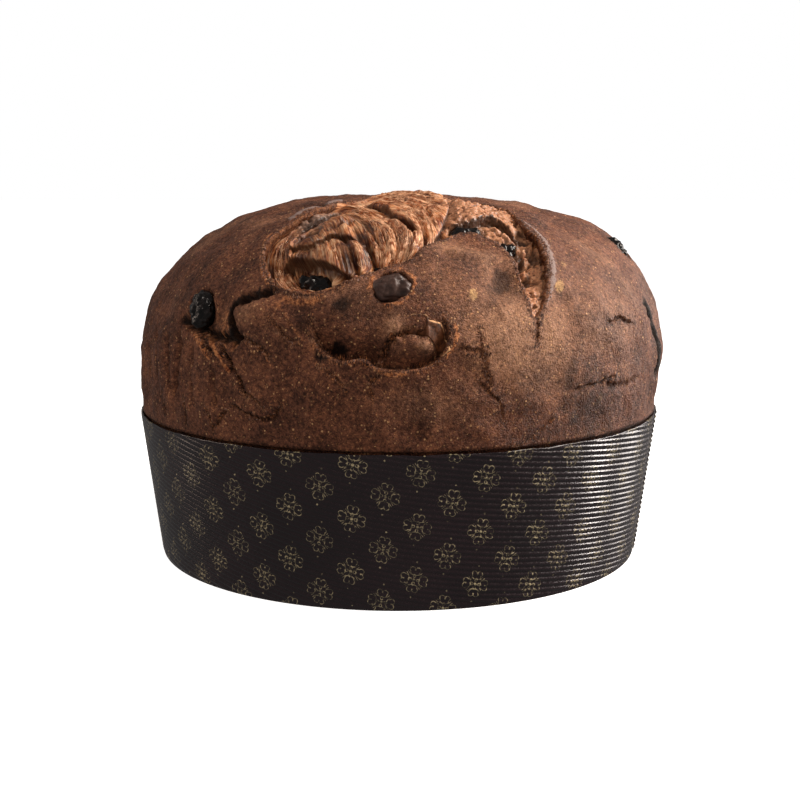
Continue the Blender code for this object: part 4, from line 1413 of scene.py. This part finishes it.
@dataclass
class Crumb:
    """The torn crumb that fills the mouth: a fibrous heap, a spongy rim and deep hollows."""

    dough: Dough
    sockets: tuple[Socket, ...]
    cell: float = 0.38
    tuck: float = 3.0
    thickness: float = 4.0
    cover: float = 2.4
    swirl: Place = (-24.0, -84.0)
    swirl_radius: float = 24.0
    swirl_blend: float = 8.0
    fibre_stretch: float = 9.0
    clump_width: float = 3.0
    ridge_width: float = 1.5
    pit_size: float = 2.6
    sponge_size: float = 1.6
    hole_size: float = 4.5
    hole_depth: float = 3.0
    dry_patch: tuple[Place, Place] = ((-37.0, -58.0), (10.0, 13.0))
    pocket: tuple[Place, Place] = ((47.0, -84.0), (8.0, 12.0))
    thread_count: int = 3600
    thread_points: int = 9
    thread_field: tuple[Span, Span] = ((-58.0, 24.0), (-110.0, -18.0))
    thread_lengths: Span = (4.0, 13.0)
    thread_widths: Span = (0.06, 0.17)

    def fibre_lines(self, a: Array, b: Array) -> tuple[Array, Array]:
        """Coordinates across and along the fibres: arched over the swirl, hanging down inside it."""
        across_a, across_b = a - self.swirl[0], b - self.swirl[1]
        far = np.hypot(across_a, across_b)
        arch = smoothstep(self.swirl_radius - self.swirl_blend, self.swirl_radius + self.swirl_blend, far)
        turn = np.arctan2(across_a, across_b)
        hang = a * 0.97 + b * 0.22 + self.swirl_radius + 6.0
        across = arch * far + (1.0 - arch) * hang
        along = arch * turn * 32.0 + (1.0 - arch) * b
        return across, along

    @staticmethod
    def heaps() -> tuple[Swelling, ...]:
        """The crumb's swellings and hollows, with painted shade in the dark holes."""
        return (
            Swelling((-26, -92), 9, 12, 2.6),
            Swelling((-28, -68), 14, 8, 1.4),
            Swelling((4, -50), 8, 24, 2.0),
            Swelling((0, -14), 13, 16, 2.8),
            Swelling((-30, -40), 8, 5, 1.2),
            Swelling((26, -40), 13, 9, 1.4),
            Swelling((49, -90), 5.5, 9, -2.6),
            # Painted shade: the dark holes of the right pocket.
            Swelling((45.5, -67), 3.8, 3.4, -2.6, dark=1.3),
            Swelling((45.5, -83), 3.0, 5.0, -2.4, dark=1.3),
            Swelling((51, -92), 1.8, 4.5, -1.6, dark=1.2),
            Swelling((51, -76), 2.4, 4.0, -1.2, dark=0.7),
            Swelling((-40, -96), 10, 7, -2.6),
            Swelling((-53, -95), 2.6, 6.0, 2.8),
            Swelling((52, -104), 5.0, 6.0, 1.4),
            # Painted shade in dark dents and a deep hole.
            Swelling((-17.8, -76), 3.0, 8.0, -2.2, dark=0.5),
            Swelling((-30, -45), 2.8, 4.0, -4.5, dark=1.0),
            Swelling((-12, -44), 3.4, 6.0, -1.4, dark=0.45),
        )

    @staticmethod
    def folds() -> tuple[Fold, ...]:
        """The flaps that the crumb is torn into."""
        return (
            Fold(
                Line(((-19, -104), (-24.6, -99.8), (-30.5, -94.1), (-36.5, -89.3), (-42.6, -85), (-48, -83),
                      (-54, -85))),
                depth=7.0, reach=17.0, wall=1.4, rise=0.9, rise_width=4.0, overhang=0.9, shade_width=3.5,
            ),
            Fold(
                Line(((-17, -82), (-22.8, -80), (-27.1, -76.2), (-32.3, -76.8), (-37.7, -79.4),
                      (-44.6, -78.6), (-50, -80))),
                depth=3.0, reach=6.0, wall=0.9, rise=1.0, rise_width=3.5, overhang=0.7, shade_width=1.0,
            ),
            Fold(
                Line(((5, -82), (3.2, -76), (-0.5, -69), (-3.7, -63.5), (-6.7, -56), (-10.3, -48.6),
                      (-16, -44))),
                depth=5.0, reach=9.0, wall=1.2, rise=1.8, rise_width=5.0, overhang=1.1, shade_width=2.2,
            ),
            Fold(
                Line(((-24, -54), (-29.2, -57.6), (-31.4, -61.1), (-36.1, -65), (-41.2, -66.7), (-46, -70.4),
                      (-50, -76))),
                depth=3.6, reach=6.0, wall=0.9, rise=1.6, rise_width=4.0, overhang=0.8, shade_width=1.2,
            ),
            Fold(
                Line(((46, -72), (43, -65), (37, -59), (31, -61), (26, -66), (20, -69), (14, -72))),
                depth=6.0, reach=14.0, wall=1.4, rise=1.0, rise_width=4.0, overhang=0.9, shade_width=3.4,
            ),
            Fold(
                Line(((14, -24), (16, -38), (17, -50), (16.5, -60), (14, -70), (11, -80), (8, -88))),
                depth=4.0, reach=7.0, wall=1.2, rise=1.6, rise_width=4.5, overhang=0.9, shade_width=1.4,
            ),
        )

    @staticmethod
    def creases() -> tuple[Groove, ...]:
        """The slits between bundles of strands."""
        return (
            Groove(Line(((-8, -70), (-3, -75), (0, -82), (2, -90), (3, -97))), -2.4, 3.2, 0.0, 0.0, 0.0),
            Groove(Line(((-16.5, -78), (-15.4, -85), (-14.2, -92), (-12.8, -98), (-11.4, -105),
                         (-10.5, -110))), 5.5, 1.0, -1.0, 0.0, 1.0),
            Groove(Line(((-9, -78), (-8.4, -86), (-6.4, -94), (-4.5, -101))), 1.8, 0.7, 0.8, 0.0, 0.6),
            Groove(Line(((-4, -60), (2, -64), (6, -72), (7, -82), (7.5, -90))), 1.6, 0.7, 0.8, 0.0, 0.5),
            Groove(Line(((-14, -36), (-4, -42), (4, -52), (9, -62), (10, -74))), 1.8, 0.8, 1.0, 0.0, 0.5),
            Groove(Line(((-18, -22), (-6, -24), (6, -32), (12, -44))), 1.6, 0.8, 0.9, 0.0, 0.5),
            Groove(Line(((-23, -86), (-21.5, -93), (-19.5, -100), (-18, -106))), 1.6, 0.7, 0.8, 0.0, 0.5),
            Groove(Line(((-31, -72), (-25, -70), (-19, -66))), 1.4, 0.7, 0.6, 0.0, 0.6),
            Groove(Line(((-46, -74), (-40, -72.5), (-33, -70))), 1.2, 0.7, 0.6, 0.0, 0.5),
        )

    def shape(self, a: Array, b: Array) -> Skin:
        """The crumb's height above the plain dome, and its paint."""
        skin = Skin(a, b)
        mouth = self.dough.tear.mouth()
        near = mouth.near(a, b)
        drop = self.dough.tear.drop(near.along)
        under = self.dough.shape(a, b).height
        skin.height += under - drop * smoothstep(14.0, 2.0, near.distance)
        for relief in (*self.heaps(), *self.folds(), *self.creases()):
            relief.mark(skin)
        # Painted shade: the dark paint of the folds, creases and holes becomes hollow paint.
        skin.paint[Paint.PAINTED_SHADE] += 0.9 * skin.paint[Paint.STAIN_AND_SHADE]
        right = smoothstep(13.0, 19.0, a) * smoothstep(-20.0, -34.0, b)
        back = smoothstep(-40.0, -28.0, b) * smoothstep(9.0, 18.0, np.abs(a - 1.0)) * 0.9
        patch = np.exp(-(oval(a, b, *self.dry_patch) ** 1.5))
        sponge = np.clip(right + back + patch, 0.0, 1.0)
        skin.paint[Paint.PALE] = np.clip(1.2 * patch + 0.8 * back * (a < 0), 0.0, 1.0)
        across, along = self.fibre_lines(a, b)
        strands = np.stack([across, along / self.fibre_stretch], 1)
        clumps = lumps(strands, self.clump_width, 131)
        ridges = 1.0 - 2.0 * np.abs(lumps(strands, self.ridge_width, 137))
        fibrous = 0.95 * clumps + 0.45 * ridges - 0.2
        # Painted shade between the fibre clumps, and over the left mass, away from the key light.
        skin.paint[Paint.PAINTED_SHADE] += 0.5 * (1.0 - sponge) * smoothstep(-0.2, -0.8, clumps)
        skin.paint[Paint.PAINTED_SHADE] += 0.34 * smoothstep(-8.0, -20.0, a) * smoothstep(-30.0, -50.0, b)
        pits = lumps(skin.flat, self.pit_size, 151, 2)
        spongy = 0.6 * lumps(skin.flat, self.sponge_size, 157, 2) - 1.8 * smoothstep(0.34, 0.66, pits)
        skin.height += (1.0 - sponge) * fibrous + sponge * spongy
        for socket in self.sockets:
            socket.mark(skin)
        pocket = np.exp(-oval(a, b, *self.pocket))
        torn = lumps(skin.flat, self.hole_size, 163, 2) - 0.25 + 0.45 * pocket
        hole = smoothstep(0.18, 0.42, torn) * pocket
        skin.height -= self.hole_depth * hole
        # Painted shade in the holes and pits, and where the crumb lies deep under the mouth's lip.
        skin.paint[Paint.PAINTED_SHADE] += 1.3 * hole + 0.7 * sponge * smoothstep(0.36, 0.66, pits)
        skin.paint[Paint.PAINTED_SHADE] += smoothstep(0.8, -0.4, near.distance) * smoothstep(1.5, 4.0, drop)
        skin.paint[Paint.SPONGE] = sponge
        covered = np.minimum(skin.height, under - self.cover)
        skin.height = np.where(mouth.contains(a, b), skin.height, covered)
        return skin

    def build(self, finish: CrumbFinish) -> bpy.types.Object:
        """Builds the piece.

        Args:
            finish: The crumb's finish.

        Returns:
            The piece.
        """
        mouth = self.dough.tear.mouth()
        chain = mouth.trace()
        low, high = chain.min(axis=0) - self.tuck, chain.max(axis=0) + self.tuck
        steps = np.ceil((high - low) / self.cell).astype(int)
        grid = bmesh.new()
        bmesh.ops.create_grid(grid, x_segments=int(steps[0]), y_segments=int(steps[1]), size=0.5)
        bmesh.ops.scale(grid, verts=grid.verts, vec=(*(high - low), 1.0))
        bmesh.ops.translate(grid, verts=grid.verts, vec=(*((low + high) / 2), 0.0))
        a, b = face_middles(grid)
        outside = (mouth.near(a, b).distance > self.tuck) & ~mouth.contains(a, b)
        bmesh.ops.delete(grid, geom=[f for f, out in zip(grid.faces, outside) if out], context="FACES")
        places = vertex_array(grid)
        a, b = places[:, 0], places[:, 1]
        skin = self.shape(a, b)
        across, along = self.fibre_lines(a, b)
        top = self.dough.dome.raised(a + skin.shift_a, b + skin.shift_b, skin.height)
        under = self.dough.dome.raised(a, b, skin.height.min() * np.ones(len(a)) - self.thickness)
        spots = {vertex: i for i, vertex in enumerate(grid.verts)}
        rim = [edge for edge in grid.edges if edge.is_boundary]
        grown = bmesh.ops.extrude_edge_only(grid, edges=rim)["geom"]
        lower = [g for g in grown if isinstance(g, bmesh.types.BMVert)]
        for vertex in lower:
            above = next(e.other_vert(vertex) for e in vertex.link_edges if e.other_vert(vertex) in spots)
            vertex.co = under[spots[above]] * MM
        for vertex, place in zip(list(spots), top * MM):
            vertex.co = place
        bmesh.ops.contextual_create(grid, geom=[g for g in grown if isinstance(g, bmesh.types.BMEdge)])
        bmesh.ops.recalc_face_normals(grid, faces=grid.faces)
        mesh = baked(grid, "crumb")
        for paint in (Paint.SPONGE, Paint.PAINTED_SHADE, Paint.PALE):
            add_paint(mesh, paint, skin.paint[paint])
        corners = np.zeros(len(mesh.loops), int)
        mesh.loops.foreach_get("vertex_index", corners)
        lines = np.zeros((len(mesh.vertices), 2))
        lines[: len(places)] = np.stack([across, along], 1)
        mesh.uv_layers.new(name="grain").data.foreach_set("uv", lines[corners].ravel())
        return show("torn_crumb", mesh, finish.material())

    def direction(self, place: Array) -> Array:
        """The way the fibres run at a place of the map."""
        a, b = place[:1], place[1:]
        step = 0.5
        rise_a = self.fibre_lines(a + step, b)[0] - self.fibre_lines(a - step, b)[0]
        rise_b = self.fibre_lines(a, b + step)[0] - self.fibre_lines(a, b - step)[0]
        run = np.array([-rise_b[0], rise_a[0]])
        return run / max(np.linalg.norm(run), 1e-6)

    def build_strands(self, finish: StrandFinish) -> bpy.types.Object:
        """Builds the loose threads that lie on the fibrous heap.

        Args:
            finish: The threads' finish.

        Returns:
            The piece.
        """
        rng = np.random.default_rng(8)
        mouth = self.dough.tear.mouth()
        tries = 6 * self.thread_count
        start = np.stack([rng.uniform(*span, tries) for span in self.thread_field], 1)
        near = mouth.near(start[:, 0], start[:, 1])
        fits = mouth.contains(start[:, 0], start[:, 1]) & (near.distance > 1.2)
        weight = np.exp(-(((start[:, 0] - 2) / 16) ** 2)) + 0.35
        start = start[fits & (rng.uniform(0, 1.35, len(start)) < weight)][: self.thread_count]
        points = self.thread_points
        paths = np.zeros((len(start), points, 2))
        for i, place in enumerate(start):
            length = rng.uniform(*self.thread_lengths)
            lean = rng.normal(0.0, 0.09)
            bend = rng.normal(0.0, 0.03)
            way = rng.choice((-1.0, 1.0))
            for k in range(points):
                paths[i, k] = place
                run = self.direction(place)
                run = run * way + (lean + bend * k) * np.array([-run[1], run[0]])
                place = place + run * length / (points - 1)
        flat = paths.reshape(-1, 2)
        skin = self.shape(flat[:, 0], flat[:, 1])
        bow = np.tile(np.sin(np.linspace(0.0, math.pi, points)), len(start))
        lift = bow * np.repeat(rng.uniform(0.1, 0.6, len(start)) ** 1.5, points) - 0.08
        places = self.dough.dome.raised(skin.a + skin.shift_a, skin.b + skin.shift_b, skin.height + lift)
        inside = mouth.contains(flat[:, 0], flat[:, 1]).reshape(-1, points).all(axis=1)
        dull = (skin.paint[Paint.SPONGE] + skin.paint[Paint.PAINTED_SHADE] > 0.6).reshape(-1, points).any(axis=1)
        curve = bpy.data.curves.new("threads", "CURVE")
        curve.dimensions = "3D"
        curve.bevel_depth = MM
        curve.bevel_resolution = 0
        taper = np.sin(np.linspace(0.08, math.pi - 0.08, points)) ** 0.7
        widths = rng.uniform(*self.thread_widths, len(start))
        for path, kept, width in zip(places.reshape(-1, points, 3), inside & ~dull, widths):
            if kept:
                spline = curve.splines.new("POLY")
                spline.points.add(points - 1)
                spline.points.foreach_set("co", np.column_stack([path * MM, np.ones(points)]).ravel())
                spline.points.foreach_set("radius", width * taper)
        return show_curve("gluten_threads", curve, finish.material())


def show_curve(
    name: str, curve: bpy.types.Curve, material: bpy.types.Material
) -> bpy.types.Object:
    """Turns a curve into a mesh and puts it into the scene as a piece."""
    holder = bpy.data.objects.new(name + "_curve", curve)
    bpy.context.scene.collection.objects.link(holder)
    evaluated = holder.evaluated_get(bpy.context.evaluated_depsgraph_get())
    mesh = bpy.data.meshes.new_from_object(evaluated)
    bpy.data.objects.remove(holder)
    return show(name, mesh, material)


@dataclass
class Film:
    """A torn skin of dough that spans a corner of the front pocket, over its swollen lump."""

    dough: Dough
    upper: Line = Line((
        (0.2, -121.3), (5.0, -120.2), (9.0, -120.4), (10.2, -122.6),
        (15.7, -123.6), (18.4, -127.6), (21.0, -132.8),
    ))
    lower: Line = Line((
        (0.4, -127.0), (3.7, -128.0), (8.2, -128.2), (11.4, -129.4),
        (13.8, -131.4), (15.6, -133.6), (18.0, -135.6),
    ))
    thickness: float = 0.25
    lift: float = 0.2
    segments: tuple[int, int] = (56, 20)

    def build(self, finish: FilmFinish) -> bpy.types.Object:
        """Builds the piece.

        Args:
            finish: The film's finish.

        Returns:
            The piece.
        """
        sheet = bmesh.new()
        bmesh.ops.create_grid(sheet, x_segments=self.segments[0], y_segments=self.segments[1], size=0.5)
        flat = vertex_array(sheet) + 0.5
        s, t = flat[:, 0], flat[:, 1]
        edges = []
        for line in (self.upper, self.lower):
            chain = line.trace()
            along = np.linspace(0.0, 1.0, len(chain))
            edges.append(np.stack([np.interp(s, along, chain[:, 0]), np.interp(s, along, chain[:, 1])], 1))
        places = edges[0] + (edges[1] - edges[0]) * t[:, None]
        ends = [self.dough.shape(edge[:, 0], edge[:, 1]).height for edge in edges]
        height = ends[0] + (ends[1] + self.lift - ends[0]) * t + 0.35 * lumps(places, 3.0, 301, 2)
        height -= 0.6 * smoothstep(0.12, 0.0, t)
        top = self.dough.dome.raised(places[:, 0], places[:, 1], height)
        move_vertices(sheet, top)
        bmesh.ops.recalc_face_normals(sheet, faces=sheet.faces)
        bmesh.ops.solidify(sheet, geom=sheet.faces, thickness=self.thickness * MM)
        mesh = baked(sheet, "film")
        # The pale rim along the upper edge and the far end: broken edge and painted highlight.
        rim = smoothstep(0.2, 0.05, t) + 0.7 * smoothstep(0.92, 0.98, s)
        add_paint(mesh, Paint.PALE, np.tile(rim, 2)[: len(mesh.vertices)])
        return show("dough_film", mesh, finish.material())


@dataclass
class Raisins:
    """The raisins and the chocolate chunk, wrinkled copies of their nodes."""

    wrinkle: float = 1.3
    chunk_wrinkle: float = 1.1
    wrinkle_size: float = 4.6
    levels: int = 3

    def wrinkled(self, name: str, seed: int, wrinkle: float) -> bpy.types.Mesh:
        """Subdivides a copy of a node's mesh and folds its skin.

        Args:
            name: The node's name.
            seed: Shifts the folds, so that no two are alike.
            wrinkle: Depth of the folds.

        Returns:
            The mesh.
        """
        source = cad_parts[name]
        work = bmesh.new()
        work.from_mesh(source.data)
        bmesh.ops.remove_doubles(work, verts=work.verts, dist=0.01 * MM)
        for _ in range(self.levels):
            bmesh.ops.subdivide_edges(work, edges=work.edges, cuts=1, smooth=0.7, use_grid_fill=True)
            bmesh.ops.smooth_vert(
                work, verts=work.verts, factor=0.5, use_axis_x=True, use_axis_y=True, use_axis_z=True
            )
        bmesh.ops.recalc_face_normals(work, faces=work.faces)
        work.normal_update()
        places = vertex_array(work) / MM + seed * 13.0
        folds = np.abs(lumps(places, self.wrinkle_size, 201, 2))
        folds += 0.4 * np.abs(lumps(places, self.wrinkle_size / 2.2, 211, 2))
        for vertex, fold in zip(work.verts, folds):
            vertex.co += vertex.normal * wrinkle * (fold - 0.4) * MM
        return baked(work, name + "_skin")

    def build(self, raisin: RaisinFinish, chocolate: ChocolateFinish) -> None:
        """Builds all the pieces.

        Args:
            raisin: The raisins' finish.
            chocolate: The chunk's finish.
        """
        skin, dull = raisin.material(), chocolate.material()
        names = sorted(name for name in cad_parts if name.startswith("raisin"))
        for seed, name in enumerate(names):
            chunk = name == "raisin_front"
            mesh = self.wrinkled(name, seed, self.chunk_wrinkle if chunk else self.wrinkle)
            material, slot = (dull, "chocolate") if chunk else (skin, "raisin")
            show(name + "_skin", mesh, material, (name,))


@dataclass
class Case:
    """The fluted board case: ribs round a cone, a flat floor, and the overlap of its glued seam."""

    base_radius: float = 105.0
    rim_radius: float = 112.9
    height: float = 62.0
    ribs: int = 29
    rib_depth: float = 0.62
    ribs_crossed: int = 43
    rib_dip: float = 5.32
    rib_dip_at: float = -45.0
    rib_dip_width: float = 50.0
    round_length: float = 683.8
    thickness: float = 1.3
    ragged_height: float = 3.0
    ragged_waves: float = 9.0
    floor: float = 0.8
    segments: int = 480
    rings_per_rib: int = 6
    seam_turn: float = 88.0
    seam_width: float = 9.0
    seam_proud: float = 0.55
    seam_thickness: float = 0.5

    def wall_radius(self, height: float | Array) -> float | Array:
        """Middle radius of the board at a height."""
        return self.base_radius + (self.rim_radius - self.base_radius) * height / self.height

    def crest(self, turn: Array, height: Array) -> Array:
        """1 on a rib's crest and 0 in the valley between two.

        The ribs slant down to the right, as the board was cut across its flutes, and a little
        steeper on the left. Round the whole case they fall by a whole number of ribs.

        Args:
            turn: Places round the case, in radians from the front.
            height: Heights of the places.

        Returns:
            The ribs' profile at each place.
        """
        around = turn / (2.0 * math.pi) * self.round_length
        bend = (around - self.rib_dip_at) / self.rib_dip_width
        pitch = self.height / self.ribs
        steady = (self.ribs_crossed * pitch - 2.0 * self.rib_dip) / self.round_length
        fall = steady * around + self.rib_dip * np.tanh(1.2 * bend)
        phase = 2.0 * math.pi * (height + fall) * self.ribs / self.height
        return (0.5 - 0.5 * np.cos(phase)) ** 0.75

    def outline(self) -> list[Place]:
        """Radius and height along the plain outer wall, from the floor to the rim."""
        count = self.ribs * self.rings_per_rib
        heights = [self.height * i / count for i in range(count + 1)]
        return [(self.wall_radius(h), h) for h in heights]

    def turned(self, outline: list[Place], start: float, angle: float, steps: int) -> bmesh.types.BMesh:
        """Turns an outline round the axis.

        Args:
            outline: Radius and height of each point.
            start: Where the turning starts, in radians from the front.
            angle: How far it goes, in radians.
            steps: Number of segments.

        Returns:
            The turned mesh, in millimetres.
        """
        mesh = bmesh.new()
        corners = [mesh.verts.new((r * math.sin(start), -r * math.cos(start), h)) for r, h in outline]
        edges = [mesh.edges.new(pair) for pair in zip(corners[:-1], corners[1:])]
        bmesh.ops.spin(
            mesh, geom=corners + edges, cent=(0.0, 0.0, 0.0), axis=(0.0, 0.0, 1.0),
            angle=angle, steps=steps, use_merge=angle == 2 * math.pi,
        )
        bmesh.ops.remove_doubles(mesh, verts=mesh.verts, dist=0.01)
        return mesh

    def dressed(
        self,
        name: str,
        mesh: bmesh.types.BMesh,
        material: bpy.types.Material,
        stands_for: tuple[str, ...] = (),
    ) -> bpy.types.Object:
        """Gives a turned mesh its print coordinates, its ribs and its ragged rim, and shows it.

        Args:
            name: The piece's name.
            mesh: The turned mesh, in millimetres.
            material: Its material.
            stands_for: The frame's nodes that it replaces.

        Returns:
            The piece.
        """
        bmesh.ops.recalc_face_normals(mesh, faces=mesh.faces)
        uv = mesh.loops.layers.uv.new("wall")
        for face in mesh.faces:
            turns = [math.atan2(loop.vert.co.x, -loop.vert.co.y) / (2 * math.pi) for loop in face.loops]
            wraps = max(turns) - min(turns) > 0.5
            for loop, turn in zip(face.loops, turns):
                around = turn + 1.0 if wraps and turn < 0 else turn
                loop[uv].uv = (around * self.round_length, loop.vert.co.z)
        places = vertex_array(mesh)
        turns = np.arctan2(places[:, 0], -places[:, 1])
        crests = self.crest(turns, places[:, 2])
        radius = np.hypot(places[:, 0], places[:, 1])
        outside = radius > self.wall_radius(places[:, 2]) - 0.1
        up = places[:, 2]
        pressed = smoothstep(0.0, 2.0, up) * smoothstep(self.height + 0.5, self.height - 1.0, up)
        pressed *= self.rib_depth * (crests - 0.5)
        grown = np.where(outside, 1.0 + pressed / np.maximum(radius, 1.0), 1.0)
        top = self.height - self.ragged_height
        for vertex, grow, turn in zip(mesh.verts, grown, turns):
            vertex.co.xy = vertex.co.xy * grow
            if vertex.co.z > top:
                share = (vertex.co.z - top) / self.ragged_height
                across, along = math.sin(turn) * self.ragged_waves, math.cos(turn) * self.ragged_waves
                wave = noise.fractal((across, along, 1.0), 0.7, 2.0, 4)
                vertex.co.z += (0.35 * wave - 0.25) * share
        bmesh.ops.scale(mesh, verts=mesh.verts, vec=(MM, MM, MM))
        data = baked(mesh, name)
        add_paint(data, Paint.CREST, crests)
        return show(name, data, material, stands_for)

    def build(self, finish: BoardFinish) -> None:
        """Builds the case and its seam.

        Args:
            finish: The board's finish.
        """
        material = finish.material()
        outer = self.outline()
        inner = self.wall_radius(self.height) + self.rib_depth / 2 - self.thickness
        foot = self.wall_radius(self.floor) + self.rib_depth / 2 - self.thickness
        whole = [(0.0, 0.0), *outer, (inner, self.height), (foot, self.floor), (0.0, self.floor)]
        self.dressed("fluted_case", self.turned(whole, 0.0, 2 * math.pi, self.segments), material, ("case",))
        start = math.radians(self.seam_turn - self.seam_width)
        within = [(r - self.seam_thickness, h) for r, h in reversed(outer)]
        lap = [(r + self.seam_proud, h) for r, h in (*outer, *within, outer[0])]
        flap = self.turned(lap, start, math.radians(self.seam_width), 10)
        bmesh.ops.holes_fill(flap, edges=[edge for edge in flap.edges if edge.is_boundary])
        self.dressed("case_seam", flap, material)


@dataclass
class Stage:
    """The pale floor, the soft lights and the camera at the photograph's angle."""

    focal: float = 60.4
    elevation: float = 9.88
    distance: float = 600.0
    aim_height: float = 62.7
    shift: float = 0.0021
    light_aim: float = 100.0
    light_distance: float = 700.0

    def build(self) -> None:
        """Builds the floor, the lights, the surroundings and the camera."""
        self.add_floor()
        self.add_light("key", 80, 41, (240, 320), 6.6, "fff2e6")
        self.add_light("front", 5, 25, (600, 300), 1.9, "ffefe0").visible_glossy = False
        self.add_light("left", -90, 25, (160, 400), 0.9, "ffe6d4")
        self.add_light("edge", 118, 10, (160, 400), 1.9, "fff6f0")
        self.add_light("gleam", 97, 14, (110, 300), 4.0, "fff6f0").visible_diffuse = False
        self.add_world()
        self.add_camera()
        bpy.context.scene.view_settings.view_transform = "Standard"

    def add_world(self) -> None:
        """White surroundings for the camera, and a dim glow from all sides for the object."""
        world = bpy.data.worlds.new("studio")
        bpy.context.scene.world = world
        world.use_nodes = True
        tree = world.node_tree
        tree.nodes.clear()
        seen = node(tree, "Background", {"Color": (1.0, 1.0, 1.0, 1.0), "Strength": 1.0}).outputs[0]
        glow = node(tree, "Background", {"Color": (1.0, 0.98, 0.96, 1.0), "Strength": 0.2}).outputs[0]
        direct = node(tree, "LightPath").outputs["Is Camera Ray"]
        mixed = node(tree, "MixShader", {0: direct, 1: glow, 2: seen}).outputs[0]
        node(tree, "OutputWorld", {"Surface": mixed})

    def add_floor(self) -> None:
        """A wide pale floor that glows, fully white far off and a little less near the loaf, and takes a soft
        shadow.
        """
        mesh = bmesh.new()
        bmesh.ops.create_grid(mesh, x_segments=2, y_segments=2, size=6.0)
        data = baked(mesh, "floor")
        made, tree, shader = new_material("white_paper_sweep")
        place = node(tree, "TexCoord").outputs["Object"]
        away = node(tree, "VectorMath", {0: place}, operation="LENGTH").outputs["Value"]
        glow = node(tree, "MapRange", {"Value": away, 1: 0.12, 2: 0.30, 3: 0.86, 4: 1.0}).outputs[0]
        feed(tree, shader, {
            "Base Color": (0.8, 0.8, 0.8, 1.0),
            "Roughness": 0.9,
            "Emission Color": (1.0, 1.0, 1.0, 1.0),
            "Emission Strength": glow,
        })
        data.materials.append(made)
        floor = bpy.data.objects.new("floor", data)
        bpy.context.scene.collection.objects.link(floor)
        floor.visible_diffuse = False
        floor.visible_glossy = False

    def add_light(
        self, name: str, turn: float, rise: float, size: Place, power: float, tint: str
    ) -> bpy.types.Object:
        """Adds a rectangular soft light that faces the loaf.

        Args:
            name: The light's name.
            turn: Its direction from the front towards the right, in degrees.
            rise: Its elevation, in degrees.
            size: Its width and height.
            power: Its power in watts.
            tint: Its colour.

        Returns:
            The light.
        """
        data = bpy.data.lights.new(name, "AREA")
        data.shape = "RECTANGLE"
        data.size, data.size_y = size[0] * MM, size[1] * MM
        data.energy = power
        data.color = linear(tint)[:3]
        light = bpy.data.objects.new(name, data)
        side, up = math.radians(turn), math.radians(rise)
        away = Vector((math.sin(side) * math.cos(up), -math.cos(side) * math.cos(up), math.sin(up)))
        light.location = (Vector((0.0, 0.0, self.light_aim)) + away * self.light_distance) * MM
        light.rotation_euler = (-away).to_track_quat("-Z", "Y").to_euler()
        bpy.context.scene.collection.objects.link(light)
        return light

    def add_camera(self) -> None:
        """Adds the camera."""
        data = bpy.data.cameras.new("camera")
        data.lens = self.focal
        data.shift_x = self.shift
        camera = bpy.data.objects.new("camera", data)
        rise = math.radians(self.elevation)
        aim = Vector((0.0, 0.0, self.aim_height))
        away = Vector((0.0, -math.cos(rise), math.sin(rise))) * self.distance
        camera.location = (aim + away) * MM
        camera.rotation_euler = (-away).to_track_quat("-Z", "Y").to_euler()
        bpy.context.scene.collection.objects.link(camera)
        bpy.context.scene.camera = camera


def main() -> None:
    """Builds the panettone, its case and its stage."""
    logging.basicConfig(level=logging.INFO, format="%(message)s")
    on_crust = (
        Socket((-89, -84), 6.2, 8.8, 10, 5.0),
        Socket((-6, -110.4), 6.9, 5.6, 10, 4.0, 0.3, 0.7),
        Socket((92, -29), 6.4, 4.2, 150, 4.0),
        Socket((-78, 52), 6.8, 4.8, 40, 4.5),
        Socket((84, 50), 7.0, 4.6, 120, 4.5),
        Socket((8, 118), 7.4, 5.0, 10, 5.0),
        Socket((-134, 6), 6.2, 4.4, 80, 4.0),
    )
    in_crumb = (
        Socket((-38, -99), 7.6, 4.8, 160, 3.0, 0.0),
        Socket((-12, -99), 3.6, 2.4, 90, 2.0, 0.0),
        Socket((23, -73), 6.8, 3.8, 20, 2.5, 0.2),
        Socket((41, -76), 4.2, 3.4, 60, 2.0, 0.0),
    )
    dough = Dough()
    Crust(dough, on_crust).build(CrustFinish())
    crumb = Crumb(dough, in_crumb)
    crumb.build(CrumbFinish())
    crumb.build_strands(StrandFinish())
    Film(dough).build(FilmFinish())
    Raisins().build(RaisinFinish(), ChocolateFinish())
    Case().build(BoardFinish())
    Stage().build()


if __name__ == "__main__":
    main()
